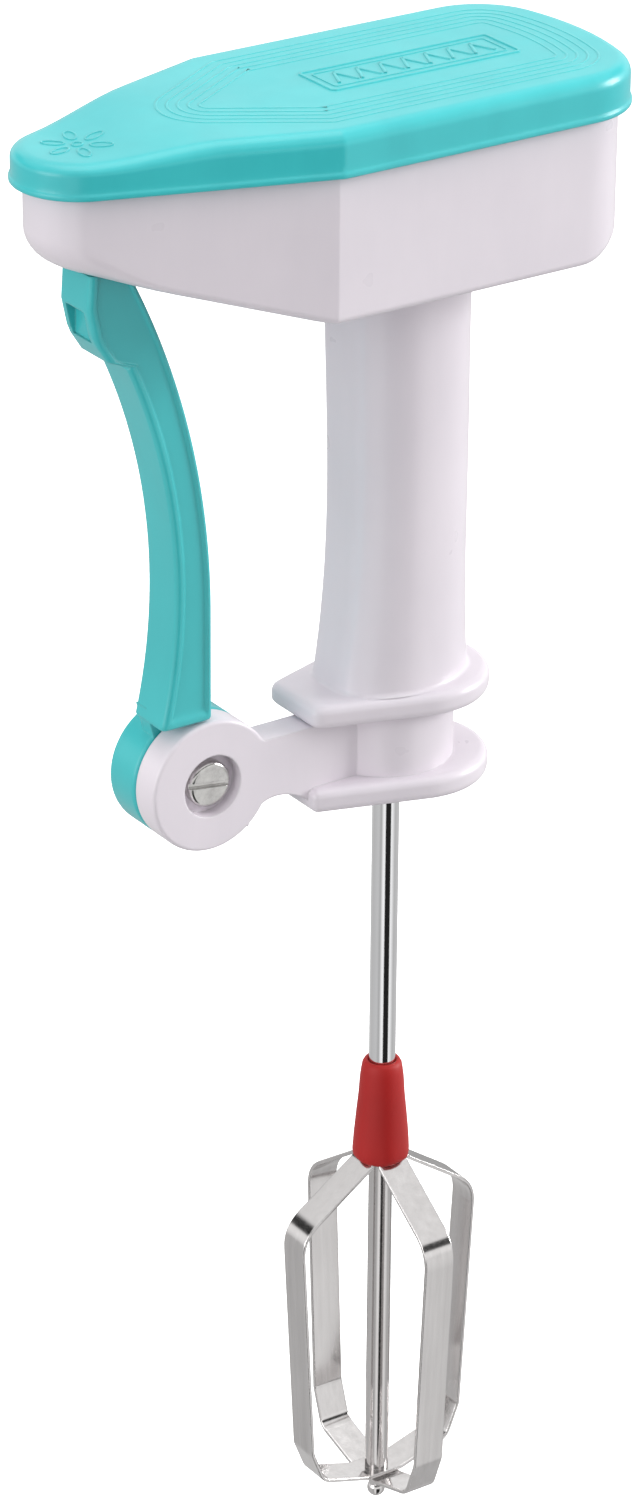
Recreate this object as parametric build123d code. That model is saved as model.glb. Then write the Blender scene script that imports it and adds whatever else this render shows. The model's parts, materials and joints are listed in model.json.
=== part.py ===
from build123d import *

import os
from math import acos, asin, atan2, cos, degrees, hypot, pi, radians, sin, sqrt, tan

# Push-lever egg beater, in millimetres. +Z runs up the beater shaft's axis, -X is the nose with the
# squeeze lever, +X is the rear of the head. The origin is on the shaft's axis at the middle of the grip.

# Head: outline of the cover, the wall of the case under it, and the slanted underside
cover_top_z = 97.5
cover_rim_z = 87.5
cover_plate = 2.4
cover_edge_r = 3.4
nose_x = -76.8
nose_r = 14.3
shoulder_x = -32.6
head_half_width = 29.6
rear_x = 49.4
rear_r = 63.0
rear_corner_r = 18.0
shoulder_r = 3.0
ramp_end_x = shoulder_x
nose_dip = 2.5
nose_dip_start_x = -56.0
nose_dip_end_x = -80.0
cover_overhang = 2.8
wall = 2.4
case_floor_z = 55.2
case_nose_floor_z = 68.8
case_seat_z = 90.5
case_end_r = 6.0
lever_slot_x0 = -80.3
lever_slot_x1 = -35.3
lever_slot_half = 6.45
bush_boss_z = 49.2

# Grip: one section for each height, as (z, flat front x, ellipse centre x, half length, half width)
grip_sections = [
    (56.5, -13.2, 1.4, 16.6, 13.6),
    (36.0, -12.8, 1.4, 16.3, 13.3),
    (0.0, -12.4, 1.8, 16.0, 12.9),
    (-24.0, -13.8, 1.2, 16.6, 13.2),
    (-43.0, -16.8, 0.5, 18.4, 14.2),
]
grip_wall = 2.4
grip_corner_r = 2.2

# Finger guards, neck and pivot arm
guard_front_x = -24.9
guard_front_half = 8.8
guard_centre_x = 5.5
guard_r = 17.6
guard_thick = 5.4
guard_edge_r = 1.8
upper_guard_z = -39.4
lower_guard_z = -59.2
neck_centre_x = 0.5
neck_rx = 14.5
neck_ry = 13.2
arm_waist_z = -58.4
arm_y0 = -6.3
arm_thick = 7.4

# Lever pivot
pivot_x = -49.3
pivot_z = -52.1
knuckle_r = 15.0
knuckle_y0 = 1.4
knuckle_y1 = 11.3
pivot_pin_r = 3.0
screw_head_r = 5.2
screw_head_t = 2.4
screw_recess_r = 7.1
screw_recess = 3.2
running = 0.05

# Lever body
lever_half = 5.75
lever_front_r = 127.0
lever_front_x = -57.8
lever_front_z = -6.0
lever_rear_r = 171.0
lever_rear_x = -49.1
lever_rear_z = -12.0
lever_edge_r = 1.2
tongue_half = 2.9
drive_pin_x = -72.0
drive_pin_z = 75.0
drive_pin_r = 2.0

# Gear train: the rack turns the drive gear's pinion, whose wheel turns the pinion on the shaft
module = 1.0
pressure = radians(20)
backlash = 0.12
pinion_teeth = 12
wheel_teeth = 42
drive_gear_x = -module * (pinion_teeth + wheel_teeth) / 2
shaft_shift = 0.4
rack_shift = 0.3
rack_travel = 30.0
rack_z0 = 73.2
rack_z1 = 80.0
rack_back_y = 11.5
rack_teeth = 12
rack_end_length = 5.0
wheel_z0 = 82.0
wheel_z1 = 87.6
yoke_z0 = 72.4
yoke_z1 = 80.8
yoke_half = 6.4
yoke_slot = 4.6
yoke_x0 = drive_pin_x - 7.8
yoke_front = 1.6
axle_r = 2.0

# Shaft and its bearings
shaft_r = 3.0
shaft_top_z = 92.0
shaft_bottom_z = -147.0
hub_r = 4.2
bush_r = 4.6
washer_t = 0.8
plate_z0 = 89.4
plate_z1 = 91.8
shaft_hole_r = 4.0

# Fasteners
screw_r = 1.45
screw_clear_r = 1.6
small_head_r = 2.7
small_head_t = 1.9
cover_screw_at = [(-46.0, -16.5), (-46.0, 16.5), (35.0, -13.5), (35.0, 13.5)]
cover_joint_z = 80.2
cover_screw_head_z = 71.0
plate_post_at = [(11.0, 19.0), (11.0, -19.0), (-54.5, -11.0)]
guide_post_at = [(-12.0, 17.6), (21.0, 17.6)]
bracket_screw_at = [(-9.6, 0.0), (11.2, 0.0)]
bracket_screw_top_z = -33.0
bracket_boss_top_z = -22.0

# Spring and its guide
spring_r = 2.9
spring_wire_r = 0.35
spring_turns = 16
spring_y = 8.5
spring_z = 76.6
spring_end_x = 28.0
spring_seat = 1.6
guide_x0 = -40.0
guide_y0 = 7.7
guide_y1 = 11.8
guide_wall = 1.4
guide_z0 = 71.0
guide_z1 = 81.3

# Beater
ferrule_top_z = -135.4
ferrule_bottom_z = -160.3
ferrule_top_r = 4.6
ferrule_bottom_r = 6.6
strip_width = 7.7
strip_thick = 0.9
tab_half = 2.3
tab_drop = 2.3
tab_top_z = -149.0
spindle_r = 2.7
spindle_tip_r = 1.5
cage_bottom_z = -243.4
cage_bend_r = 1.6
cage_profile = [(23.6, -172.8), (23.4, -178.8), (20.4, -231.5), (17.2, -239.6)]
rivet_tip_z = -251.3

nodes = {}


def box(x0, x1, y0, y1, z0, z1):
    """A block between two corners."""
    return Pos((x0 + x1) / 2, (y0 + y1) / 2, (z0 + z1) / 2) * Box(x1 - x0, y1 - y0, z1 - z0)


def rod(r, z0, z1, x=0.0, y=0.0):
    """An upright cylinder from z0 to z1."""
    return Pos(x, y, (z0 + z1) / 2) * Cylinder(r, z1 - z0)


def rod_y(r, y0, y1, x, z):
    """A cylinder along Y from y0 to y1."""
    return Pos(x, (y0 + y1) / 2, z) * Rot(90, 0, 0) * Cylinder(r, y1 - y0)


def rod_x(r, x0, x1, y, z):
    """A cylinder along X from x0 to x1."""
    return Pos((x0 + x1) / 2, y, z) * Rot(0, 90, 0) * Cylinder(r, x1 - x0)


def ring(r_out, r_in, z0, z1, x=0.0, y=0.0):
    """An upright ring."""
    return rod(r_out, z0, z1, x, y) - rod(r_in, z0, z1, x, y)


def prism(face, z0, z1):
    """A flat outline in XY, raised from z0 to z1."""
    return extrude(Pos(0, 0, z0) * face, z1 - z0)


def side_prism(wire_points, y0, y1):
    """A closed outline in XZ, carried along Y."""
    face = Plane.XZ * make_face(Polyline(*wire_points, close=True))
    return extrude_y(face, y0, y1)


def extrude_y(face, y0, y1):
    """An XZ face at y = 0, carried along Y from y0 to y1."""
    return extrude(Pos(0, y0, 0) * face, y1 - y0, dir=(0, 1, 0))


def only(shape):
    """The single solid of a result."""
    found = shape.solids()
    assert len(found) == 1, f"{len(found)} solids"
    return found[0]


# ---------------------------------------------------------------- head outline


def head_outline(inset=0.0):
    """The head's outline in plan: round nose, flared sides, parallel sides and a broad rear arc."""
    dx, dy = shoulder_x - nose_x, head_half_width
    lean = atan2(dy, dx) - asin(nose_r / hypot(dx, dy))
    tx, ty = nose_x - nose_r * sin(lean), nose_r * cos(lean)
    corner_x = rear_x - rear_r + sqrt(rear_r**2 - head_half_width**2)
    nose = ThreePointArc((tx, ty), (nose_x - nose_r, 0), (tx, -ty))
    rear = ThreePointArc((corner_x, -head_half_width), (rear_x, 0), (corner_x, head_half_width))
    near = Polyline((tx, -ty), (shoulder_x, -head_half_width), (corner_x, -head_half_width))
    far = Polyline((corner_x, head_half_width), (shoulder_x, head_half_width), (tx, ty))
    face = make_face([*nose.edges(), *near.edges(), *rear.edges(), *far.edges()])
    rear_corners = face.vertices().filter_by(lambda v: v.X > 0)
    face = fillet(rear_corners, rear_corner_r)
    shoulders = face.vertices().filter_by(lambda v: abs(v.X - shoulder_x) < 0.01)
    face = fillet(shoulders, shoulder_r)
    return offset(face, -inset) if inset else face


def case_side(inset):
    """The case's side view: level floor, a ramp up to the nose and rounded ends."""
    x0 = nose_x - nose_r + cover_overhang + inset
    x1 = rear_x - cover_overhang - inset
    slope = (case_nose_floor_z - case_floor_z) / (ramp_end_x - nose_x)
    lift = inset * sqrt(1 + slope**2)
    nose_z = case_floor_z + slope * (ramp_end_x - x0) + lift
    points = [
        (x0, case_seat_z + 5),
        (x0, nose_z),
        (ramp_end_x, case_floor_z + inset),
        (x1, case_floor_z + inset),
        (x1, case_seat_z + 5),
    ]
    face = Plane.XZ * make_face(Polyline(*points, close=True))
    low = face.vertices().filter_by(lambda v: v.Z < case_seat_z and abs(v.X - ramp_end_x) > 1)
    return fillet(low, case_end_r - inset)


def case_block(inset, top_z):
    """The case's outer body, or its hollow when inset is the wall."""
    block = prism(head_outline(cover_overhang + inset), case_floor_z - 1, top_z)
    return block & extrude_y(case_side(inset), -60, 60)


# ---------------------------------------------------------------- grip and guards


def grip_section(z, front_x, centre_x, rx, ry, inset=0.0):
    """One level of the grip: an ellipse cut flat in front."""
    rx, ry, front_x = rx - inset, ry - inset, front_x + inset
    angle = degrees(acos((front_x - centre_x) / rx))
    half = ry * sin(radians(angle))
    curve = EllipticalCenterArc((centre_x, 0), rx, ry, start_angle=-angle, arc_size=2 * angle)
    front = Line((front_x, half), (front_x, -half))
    return Pos(0, 0, z) * make_face([*curve.edges(), *front.edges()])


def grip_body(inset, z_low, z_high):
    """The grip's lofted body between two heights."""
    body = loft([grip_section(*s, inset=inset) for s in grip_sections])
    return body & box(-40, 40, -40, 40, z_low, z_high)


def guard_outline():
    """A finger guard in plan: straight front edge, widening to a round rear."""
    dx, dy = guard_centre_x - guard_front_x, guard_front_half
    lean = asin(guard_r / hypot(dx, dy)) - atan2(dy, dx)
    tx, ty = guard_centre_x - guard_r * sin(lean), guard_r * cos(lean)
    rear = ThreePointArc((tx, -ty), (guard_centre_x + guard_r, 0), (tx, ty))
    front = Polyline(
        (tx, ty), (guard_front_x, guard_front_half), (guard_front_x, -guard_front_half), (tx, -ty)
    )
    face = make_face([*rear.edges(), *front.edges()])
    corners = face.vertices().filter_by(lambda v: abs(v.X - guard_front_x) < 0.01)
    return fillet(corners, 1.5)


def guard(z_top):
    """A finger guard with rounded edges."""
    plate = prism(guard_outline(), z_top - guard_thick, z_top)
    rims = plate.edges().filter_by(lambda e: abs(e.bounding_box().size.Z) < 0.01)
    return fillet(rims, guard_edge_r)


# ---------------------------------------------------------------- gear case


def screw_post(x, y, z_top, r=3.0, pilot=12.0):
    """A post on the case floor with a pilot hole for a self-tapping screw."""
    return rod(r, case_floor_z - 1, z_top, x, y), rod(1.2, z_top - pilot, z_top + 1, x, y)


def make_gear_case():
    """Hollow case on top of the grip, with the posts that carry the mechanism."""
    outer = case_block(0, case_seat_z)
    hollow = case_block(wall, case_seat_z + 2)
    case = outer - hollow
    posts = rod(bush_r + 2.4, bush_boss_z, 59.0)
    holes = rod(bush_r, bush_boss_z - 1, 60)
    posts += rod(5.0, case_floor_z - 1, guide_z0 - 0.2, drive_gear_x, 0)
    holes += rod(axle_r, case_floor_z + wall, guide_z0 + 1, drive_gear_x, 0)
    for x, y in cover_screw_at:
        posts += rod(4.1, case_floor_z - 1, cover_screw_head_z + 2, x, y)
        posts += rod(2.9, case_floor_z, cover_joint_z, x, y)
        holes += rod(small_head_r + 0.2, case_floor_z - 2, cover_screw_head_z, x, y)
        holes += rod(screw_clear_r, cover_screw_head_z - 1, cover_joint_z + 1, x, y)
    for x, y in plate_post_at:
        post, hole = screw_post(x, y, plate_z0)
        posts, holes = posts + post, holes + hole
    for x, y in guide_post_at:
        post, hole = screw_post(x, y, guide_z0, pilot=9.0)
        posts, holes = posts + post, holes + hole
    boss = rod(bush_r + 2.4, bush_boss_z, 59.0)
    case += posts & (case_block(0.4, case_seat_z) + boss)
    slot = box(lever_slot_x0, lever_slot_x1, -lever_slot_half, lever_slot_half, 40, 76)
    holes += slot & case_block(-3, 76)
    return only(case - holes)


def make_grip():
    """Grip and upper finger guard, hollow, with bosses for the bracket's screws."""
    low_z = upper_guard_z - guard_thick
    shell = grip_body(0, upper_guard_z - 1, case_floor_z)
    front = shell.edges().filter_by(lambda e: e.center().X < -8 and e.bounding_box().size.Z > 50)
    shell = fillet(front, grip_corner_r) + guard(upper_guard_z)
    core = grip_body(grip_wall, low_z - 0.1, case_floor_z + 1)
    core += Pos(0, 0, low_z) * Cylinder(10, 8)
    for x, y in bracket_screw_at:
        core -= rod(3.2, low_z, bracket_boss_top_z, x, y)
        core -= box(min(x, x * 1.7), max(x, x * 1.7), -1, 1, low_z, bracket_boss_top_z)
        core += rod(1.2, low_z - 1, bracket_screw_top_z + 1, x, y)
    return only(shell - core)


nodes["gear_case"] = make_gear_case
nodes["grip"] = make_grip

# ---------------------------------------------------------------- cover and screws


def make_top_cover():
    """Cover with a rim that laps over the case, and posts for its screws."""
    x0, x1 = nose_x - nose_r - 1, rear_x + 1
    dip_mid = (nose_dip_start_x + nose_dip_end_x) / 2
    top = Polyline((nose_dip_start_x, cover_top_z), (x1, cover_top_z), (x1, cover_rim_z), (x0, cover_rim_z))
    down = Line((x0, cover_rim_z), (x0, cover_top_z - nose_dip))
    flat = Line((x0, cover_top_z - nose_dip), (nose_dip_end_x, cover_top_z - nose_dip))
    curve = Spline(
        (nose_dip_end_x, cover_top_z - nose_dip),
        (dip_mid, cover_top_z - nose_dip / 2),
        (nose_dip_start_x, cover_top_z),
        tangents=[(1, 0), (1, 0)],
    )
    side = Plane.XZ * make_face([*top.edges(), *down.edges(), *flat.edges(), *curve.edges()])
    cover = prism(head_outline(), cover_rim_z, cover_top_z + 1) & extrude_y(side, -60, 60)
    upper = cover.edges().filter_by(lambda e: e.center().Z > cover_top_z - nose_dip - 0.5)
    cover = fillet(upper.filter_by(lambda e: abs(e.center().Y) > 1 or e.center().X > 40
                                   or e.center().X < nose_x), cover_edge_r)
    cover -= prism(head_outline(cover_overhang - 0.15), cover_rim_z - 1, case_seat_z)
    hollow = prism(head_outline(cover_overhang + wall), cover_rim_z, cover_top_z - cover_plate)
    cover -= hollow - box(x0, nose_dip_start_x - 4, -60, 60, cover_top_z - cover_plate - nose_dip, 99)
    for x, y in cover_screw_at:
        cover += rod(2.6, cover_joint_z, cover_top_z - cover_plate, x, y)
        cover -= rod(1.2, cover_joint_z - 1, cover_joint_z + 12, x, y)
    return only(cover)


def small_screw(x, y, head_z, tip_z):
    """A pan-head self-tapping screw with its head at head_z and its tip at tip_z."""
    up = 1 if tip_z > head_z else -1
    shank = rod(1.15, min(head_z, tip_z), max(head_z, tip_z), x, y)
    head = rod(small_head_r, min(head_z, head_z - up * small_head_t),
               max(head_z, head_z - up * small_head_t), x, y)
    far = head.faces().sort_by(Axis.Z)[0 if up > 0 else -1]
    head = fillet(far.edges(), 0.7)
    face_z = head_z - up * small_head_t
    cross = Part() + [Pos(x, y, face_z) * Rot(0, 0, a) * Box(3.0, 0.7, 1.6) for a in (0, 90)]
    return shank + head - cross


def make_cover_screws():
    """Four screws, from below, that hold the cover."""
    return Compound([only(small_screw(x, y, cover_screw_head_z, cover_joint_z + 9))
                     for x, y in cover_screw_at])


def make_bearing_plate():
    """Plate over the gears that holds the tops of the shaft and the axle."""
    pads = Part() + [rod(4.4, plate_z0, plate_z1, x, y) for x, y in plate_post_at]
    (ax, ay), (bx, by), (cx, cy) = plate_post_at
    web = make_face(Polyline((ax + 4, ay), (bx + 4, by), (bx - 6, by - 2), (cx, cy), (cx, cy + 4),
                             (ax - 6, ay + 2), close=True))
    plate = pads + prism(web, plate_z0, plate_z1)
    plate -= rod(bush_r - 0.6, plate_z0 - 1, plate_z1 + 1)
    plate -= rod(axle_r, plate_z0 - 1, plate_z1 + 1, drive_gear_x, 0)
    for x, y in plate_post_at:
        plate -= rod(screw_clear_r, plate_z0 - 1, plate_z1 + 1, x, y)
    return only(plate)


def make_bearing_plate_screws():
    """Three screws that hold the bearing plate."""
    return Compound([only(small_screw(x, y, plate_z1, plate_z0 - 9)) for x, y in plate_post_at])


# ---------------------------------------------------------------- lower bracket and bearings


def make_lower_bracket():
    """Neck, lower finger guard and the arm with the lever's pivot."""
    neck_face = make_face(Ellipse(neck_rx, neck_ry).edges())
    neck_top = upper_guard_z - guard_thick
    body = prism(Pos(neck_centre_x, 0) * neck_face, lower_guard_z - 1, neck_top)
    body += guard(lower_guard_z)
    arm_low = Spline(
        (pivot_x + 9.0, pivot_z - 12.0),
        (-34.5, arm_waist_z - 0.4),
        (-30.5, arm_waist_z - 0.6),
        (-23.5, lower_guard_z - guard_thick + 1.2),
    )
    arm_top = Polyline(
        (-23.5, lower_guard_z - guard_thick + 1.2),
        (-8.0, lower_guard_z - 2.0),
        (-8.0, neck_top),
        (pivot_x + 13.5, neck_top),
        (pivot_x + 6.0, pivot_z + 10.0),
        (pivot_x, pivot_z),
        (pivot_x + 9.0, pivot_z - 12.0),
    )
    arm_face = Plane.XZ * make_face([*arm_low.edges(), *arm_top.edges()])
    arm = extrude_y(arm_face, arm_y0, arm_y0 + arm_thick)
    disc = rod_y(knuckle_r, arm_y0, arm_y0 + arm_thick, pivot_x, pivot_z)
    disc = fillet(disc.edges().filter_by(GeomType.CIRCLE), 0.8)
    body += arm + disc
    body -= rod_y(screw_recess_r, arm_y0 - 1, arm_y0 + screw_recess, pivot_x, pivot_z)
    body -= rod_y(pivot_pin_r, arm_y0, knuckle_y0, pivot_x, pivot_z)
    body -= rod(bush_r, lower_guard_z - guard_thick - 1, lower_guard_z + 3)
    body -= rod(shaft_hole_r, lower_guard_z, neck_top + 1)
    head_z = lower_guard_z - guard_thick + 2.4
    for x, y in bracket_screw_at:
        body -= rod(small_head_r + 0.2, head_z - 4, head_z, x, y)
        body -= rod(screw_clear_r, head_z - 1, neck_top + 1, x, y)
    return only(body)


def make_bracket_screws():
    """Two screws, from below, that hold the bracket to the grip."""
    head_z = lower_guard_z - guard_thick + 2.4
    return Compound([only(small_screw(x, y, head_z, bracket_screw_top_z)) for x, y in bracket_screw_at])


def make_lower_bush():
    """Plain bush in the neck."""
    return only(ring(bush_r, shaft_r + running, lower_guard_z - guard_thick, lower_guard_z + 3))


def make_upper_bush():
    """Flanged bush in the case floor."""
    bush = rod(bush_r, bush_boss_z, 59.0) + rod(bush_r + 2, 59.0, 60.0)
    return only(bush - rod(shaft_r + running, bush_boss_z - 1, 61))


def make_top_bush():
    """Bush in the bearing plate."""
    return only(ring(bush_r - 0.6, shaft_r + running, plate_z0, plate_z1))


# ---------------------------------------------------------------- gears


def involute_flank(teeth, shift, tip_r, sign):
    """Points along one flank of a tooth centred on +X, from its foot to its tip."""
    pitch_r = module * teeth / 2
    base_r = pitch_r * cos(pressure)
    half = (module * (pi / 2 + 2 * shift * tan(pressure)) - backlash) / (2 * pitch_r)
    half += tan(pressure) - pressure
    steps = 7
    points = []
    for i in range(steps):
        r = base_r + (tip_r - base_r) * (i / (steps - 1)) ** 1.6
        a = acos(min(1, base_r / r))
        angle = sign * (half - (tan(a) - a))
        points.append((r * cos(angle), r * sin(angle)))
    return points


def gear_face(teeth, shift, first_angle):
    """An involute gear's outline, with a tooth centred at first_angle degrees."""
    pitch_r = module * teeth / 2
    tip_r = pitch_r + module * (1 + shift)
    root_r = pitch_r - module * (1.25 - shift)
    low = involute_flank(teeth, shift, tip_r, -1)
    high = involute_flank(teeth, shift, tip_r, 1)
    foot = degrees(atan2(high[0][1], high[0][0]))
    gap = 360 / teeth - 2 * foot
    edges = []
    for i in range(teeth):
        turn = Rot(0, 0, first_angle + 360 * i / teeth)
        a0, a1 = radians(foot), radians(foot + gap)
        am = (a0 + a1) / 2
        root = [(root_r * cos(a), root_r * sin(a)) for a in (a0, am, a1)]
        next_low = (hypot(*low[0]) * cos(a1), hypot(*low[0]) * sin(a1))
        parts = [
            Spline(*low),
            ThreePointArc(low[-1], (tip_r, 0), high[-1]),
            Spline(*reversed(high)),
            Line(high[0], root[0]),
            ThreePointArc(*root),
            Line(root[2], next_low),
        ]
        edges += [turn * e for part in parts for e in part.edges()]
    return make_face(edges)


def make_drive_gear():
    """Compound gear: a small pinion for the rack under a large wheel, on one hub."""
    wheel = prism(gear_face(wheel_teeth, -shaft_shift, 180 / wheel_teeth), wheel_z0, wheel_z1)
    web_z0, web_z1 = wheel_z0 + 2.0, wheel_z1 - 2.0
    recess = ring(17.6, 7.5, wheel_z0 - 1, web_z0) + ring(17.6, 7.5, web_z1, wheel_z1 + 1)
    wheel -= recess
    for i in range(6):
        wheel -= Rot(0, 0, 60 * i + 30) * rod(3.4, wheel_z0 - 1, wheel_z1 + 1, 12.5, 0)
    pinion = prism(gear_face(pinion_teeth, rack_shift, 90), guide_z0 + washer_t, wheel_z0)
    gear = wheel + pinion + rod(6.6, wheel_z1, plate_z0 - washer_t)
    gear -= rod(axle_r + running, guide_z0, plate_z0 + 1)
    return only(Pos(drive_gear_x, 0, 0) * gear)


def make_drive_gear_axle():
    """Fixed steel pin under the drive gear."""
    pin = rod(axle_r, case_floor_z + wall, plate_z1, drive_gear_x, 0)
    return only(chamfer(pin.edges().filter_by(GeomType.CIRCLE), 0.3))


def make_axle_washers():
    """A washer under and over the drive gear."""
    low, high = guide_z0 - 0.2, plate_z0 - washer_t + 0.2
    return Compound([only(ring(4.4, axle_r + running, z, z + t, drive_gear_x, 0))
                     for z, t in ((low, washer_t), (high, washer_t - 0.2))])


def make_shaft_pinion():
    """Long-hubbed pinion pressed on the shaft."""
    teeth = prism(gear_face(pinion_teeth, shaft_shift, 180), wheel_z0 - 0.3, wheel_z1 + 0.3)
    hub = rod(hub_r, 60.0 + washer_t, plate_z0 - 0.4)
    return only(teeth + hub - rod(shaft_r, 50, 95))


def make_thrust_washer():
    """Washer between the pinion's hub and the upper bush."""
    return only(ring(hub_r + 1.4, shaft_r + running, 60.0, 60.0 + washer_t - 0.1))


def rack_tooth_line(x0, pitch_y):
    """The rack's toothed edge from x0, one space and one tooth at a time."""
    add, ded = module, 1.25 * module
    half = (module * pi / 2 - backlash) / 2
    points = []
    for i in range(rack_teeth):
        c = x0 + (i + 0.5) * pi * module
        points += [
            (c - half - ded * tan(pressure), pitch_y + ded),
            (c - half + add * tan(pressure), pitch_y - add),
            (c + half - add * tan(pressure), pitch_y - add),
            (c + half + ded * tan(pressure), pitch_y + ded),
        ]
    return points


def make_rack():
    """Toothed bar with the yoke that the lever's pin pushes."""
    pitch_y = module * (pinion_teeth / 2 + rack_shift)
    tooth_x0 = drive_gear_x - (rack_teeth - 1) * pi * module
    line = rack_tooth_line(tooth_x0, pitch_y)
    end_x = tooth_x0 + rack_teeth * pi * module + rack_end_length
    start_x = tooth_x0 - 2.0
    root_y = pitch_y + 1.25 * module
    outline = [(start_x, rack_back_y), (start_x, root_y), *line, (end_x - 2.6, root_y),
               (end_x - 2.6, root_y - 1.4), (end_x, root_y - 1.4), (end_x, rack_back_y)]
    bar = prism(make_face(Polyline(*outline, close=True)), rack_z0, rack_z1)
    spigot = rod_x(1.9, end_x - 0.1, end_x + 3, spring_y, spring_z)
    yoke = box(yoke_x0, drive_pin_x + 6.0, -yoke_half, yoke_half, yoke_z0, yoke_z1)
    yoke += box(drive_pin_x + 2.5, start_x - 1, yoke_half - 2.4, rack_back_y - 0.3, rack_z0, rack_z1)
    yoke += box(start_x - 1.1, start_x + 5, root_y + 0.1, rack_back_y - 0.3, rack_z0, rack_z1)
    yoke &= box(-90, 0, -yoke_half, rack_back_y, 70, 90)
    pin_x0, pin_x1 = drive_pin_x - yoke_slot / 2, drive_pin_x + yoke_slot / 2
    yoke -= box(pin_x0, pin_x1, -9, yoke_half - 1.2, 70, yoke_z1 - 1.4)
    gap_x0 = yoke_x0 + yoke_front
    yoke -= box(gap_x0, drive_pin_x + 7, -tongue_half - 0.4, tongue_half + 0.4, 70, 90)
    return only(bar + spigot + yoke)


nodes.update(
    top_cover=make_top_cover,
    cover_screws=make_cover_screws,
    bearing_plate=make_bearing_plate,
    bearing_plate_screws=make_bearing_plate_screws,
    lower_bracket=make_lower_bracket,
    bracket_screws=make_bracket_screws,
    lower_bush=make_lower_bush,
    upper_bush=make_upper_bush,
    top_bush=make_top_bush,
    drive_gear=make_drive_gear,
    drive_gear_axle=make_drive_gear_axle,
    axle_washers=make_axle_washers,
    shaft_pinion=make_shaft_pinion,
    thrust_washer=make_thrust_washer,
    rack=make_rack,
)


# ---------------------------------------------------------------- rack guide and spring


def make_rack_guide():
    """Channel that holds the rack and the spring, with the spring's seat at its rear end."""
    x1, y2 = spring_end_x + spring_seat, guide_y1 + guide_wall
    guide = box(guide_x0, x1, guide_y0, y2, guide_z0, guide_z0 + guide_wall)
    guide += box(guide_x0, x1, guide_y1, y2, guide_z0, guide_z1)
    guide += box(guide_x0, x1, guide_y1 - 2.4, guide_y1 + 0.1, guide_z1 - 1.0, guide_z1)
    guide += box(spring_end_x, x1, spring_y - 3.2, guide_y1 + 0.1, guide_z0, guide_z1)
    guide += rod_x(1.9, spring_end_x - 3, spring_end_x + 0.1, spring_y, spring_z)
    for x, y in guide_post_at:
        guide += rod(3.4, guide_z0, guide_z0 + guide_wall, x, y)
        guide += box(x - 3.4, x + 3.4, guide_y1, y, guide_z0, guide_z0 + guide_wall)
    for x, y in guide_post_at:
        guide -= rod(screw_clear_r, guide_z0 - 1, guide_z0 + 4, x, y)
    return only(guide)


def make_guide_screws():
    """Two screws that hold the rack guide."""
    head_z = guide_z0 + guide_wall
    return Compound([only(small_screw(x, y, head_z, guide_z0 - 7)) for x, y in guide_post_at])


def make_return_spring():
    """Compression spring between the rack and the guide's seat."""
    rack_end = drive_gear_x + pi * module + rack_end_length
    length = spring_end_x - rack_end - 2 * spring_wire_r
    path = Helix(length / spring_turns, length, spring_r)
    section = Plane(path @ 0, z_dir=path % 0) * Circle(spring_wire_r)
    coil = sweep(section, path=path, is_frenet=True)
    return only(Pos(rack_end + spring_wire_r, spring_y, spring_z) * Rot(0, 90, 0) * coil)


# ---------------------------------------------------------------- lever


def lever_front(z):
    """X of the lever's front face at a height."""
    return lever_front_x - lever_front_r + sqrt(lever_front_r**2 - (z - lever_front_z) ** 2)


def lever_rear(z):
    """X of the lever's rear face at a height."""
    if z < lever_rear_z:
        return lever_rear_x
    return lever_rear_x - lever_rear_r + sqrt(lever_rear_r**2 - (z - lever_rear_z) ** 2)


def make_lever():
    """Squeeze lever: knuckle, bowed bar, thumb block and the tongue that enters the case."""
    low_z, notch_z, block_z = -36.9, 47.0, 68.5
    front_low = (lever_front(low_z), low_z)
    front_mid = (lever_front(10), 10)
    front_notch = (lever_front(notch_z), notch_z)
    front = ThreePointArc(front_low, front_mid, front_notch)
    rear_top = (lever_rear(block_z), block_z)
    rear_low = (lever_rear_x, lever_rear_z)
    block = Polyline(
        front_notch, (-73.8, 49.0), (-77.0, 54.0), (-78.5, 61.0), (-78.0, block_z), rear_top
    )
    rear = ThreePointArc(rear_top, (lever_rear(30), 30), rear_low)
    base = Polyline(rear_low, (lever_rear_x, low_z + 1.2), (-54.5, low_z + 0.6), front_low)
    face = Plane.XZ * make_face([*front.edges(), *block.edges(), *rear.edges(), *base.edges()])
    bar = extrude_y(face, -lever_half, lever_half)
    rims = bar.edges().filter_by(lambda e: e.bounding_box().size.Y < 0.01 and e.length > 30)
    bar = fillet(rims, lever_edge_r)
    bar -= box(-80, -76.2, -3.4, 3.4, 53.6, 60.2)
    knuckle = rod_y(knuckle_r, knuckle_y0, knuckle_y1, pivot_x, pivot_z)
    knuckle = fillet(knuckle.edges().filter_by(GeomType.CIRCLE), 0.8)
    root = [
        (front_low[0] + 0.4, low_z + 1.5),
        (lever_rear_x - 0.3, low_z + 2.5),
        (lever_rear_x - 0.3, pivot_z + 6),
        (front_low[0] + 3.5, pivot_z + 6),
    ]
    bar += side_prism(root, knuckle_y0, lever_half - 0.2)
    tongue = [
        (-76.4, block_z - 2),
        (drive_pin_x - 4.2, drive_pin_z),
        (drive_pin_x - 3.0, drive_pin_z + 3.2),
        (drive_pin_x + 3.0, drive_pin_z + 3.2),
        (drive_pin_x + 4.2, drive_pin_z),
        (rear_top[0] - 1.6, block_z - 2),
    ]
    lever = bar + knuckle + side_prism(tongue, -tongue_half, tongue_half)
    lever -= rod_y(pivot_pin_r + running, 0, 20, pivot_x, pivot_z)
    lever -= rod_y(7.2, knuckle_y1 - 4.0, knuckle_y1 + 1, pivot_x, pivot_z)
    lever -= rod_y(drive_pin_r, -10, 10, drive_pin_x, drive_pin_z)
    return only(lever)


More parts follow.
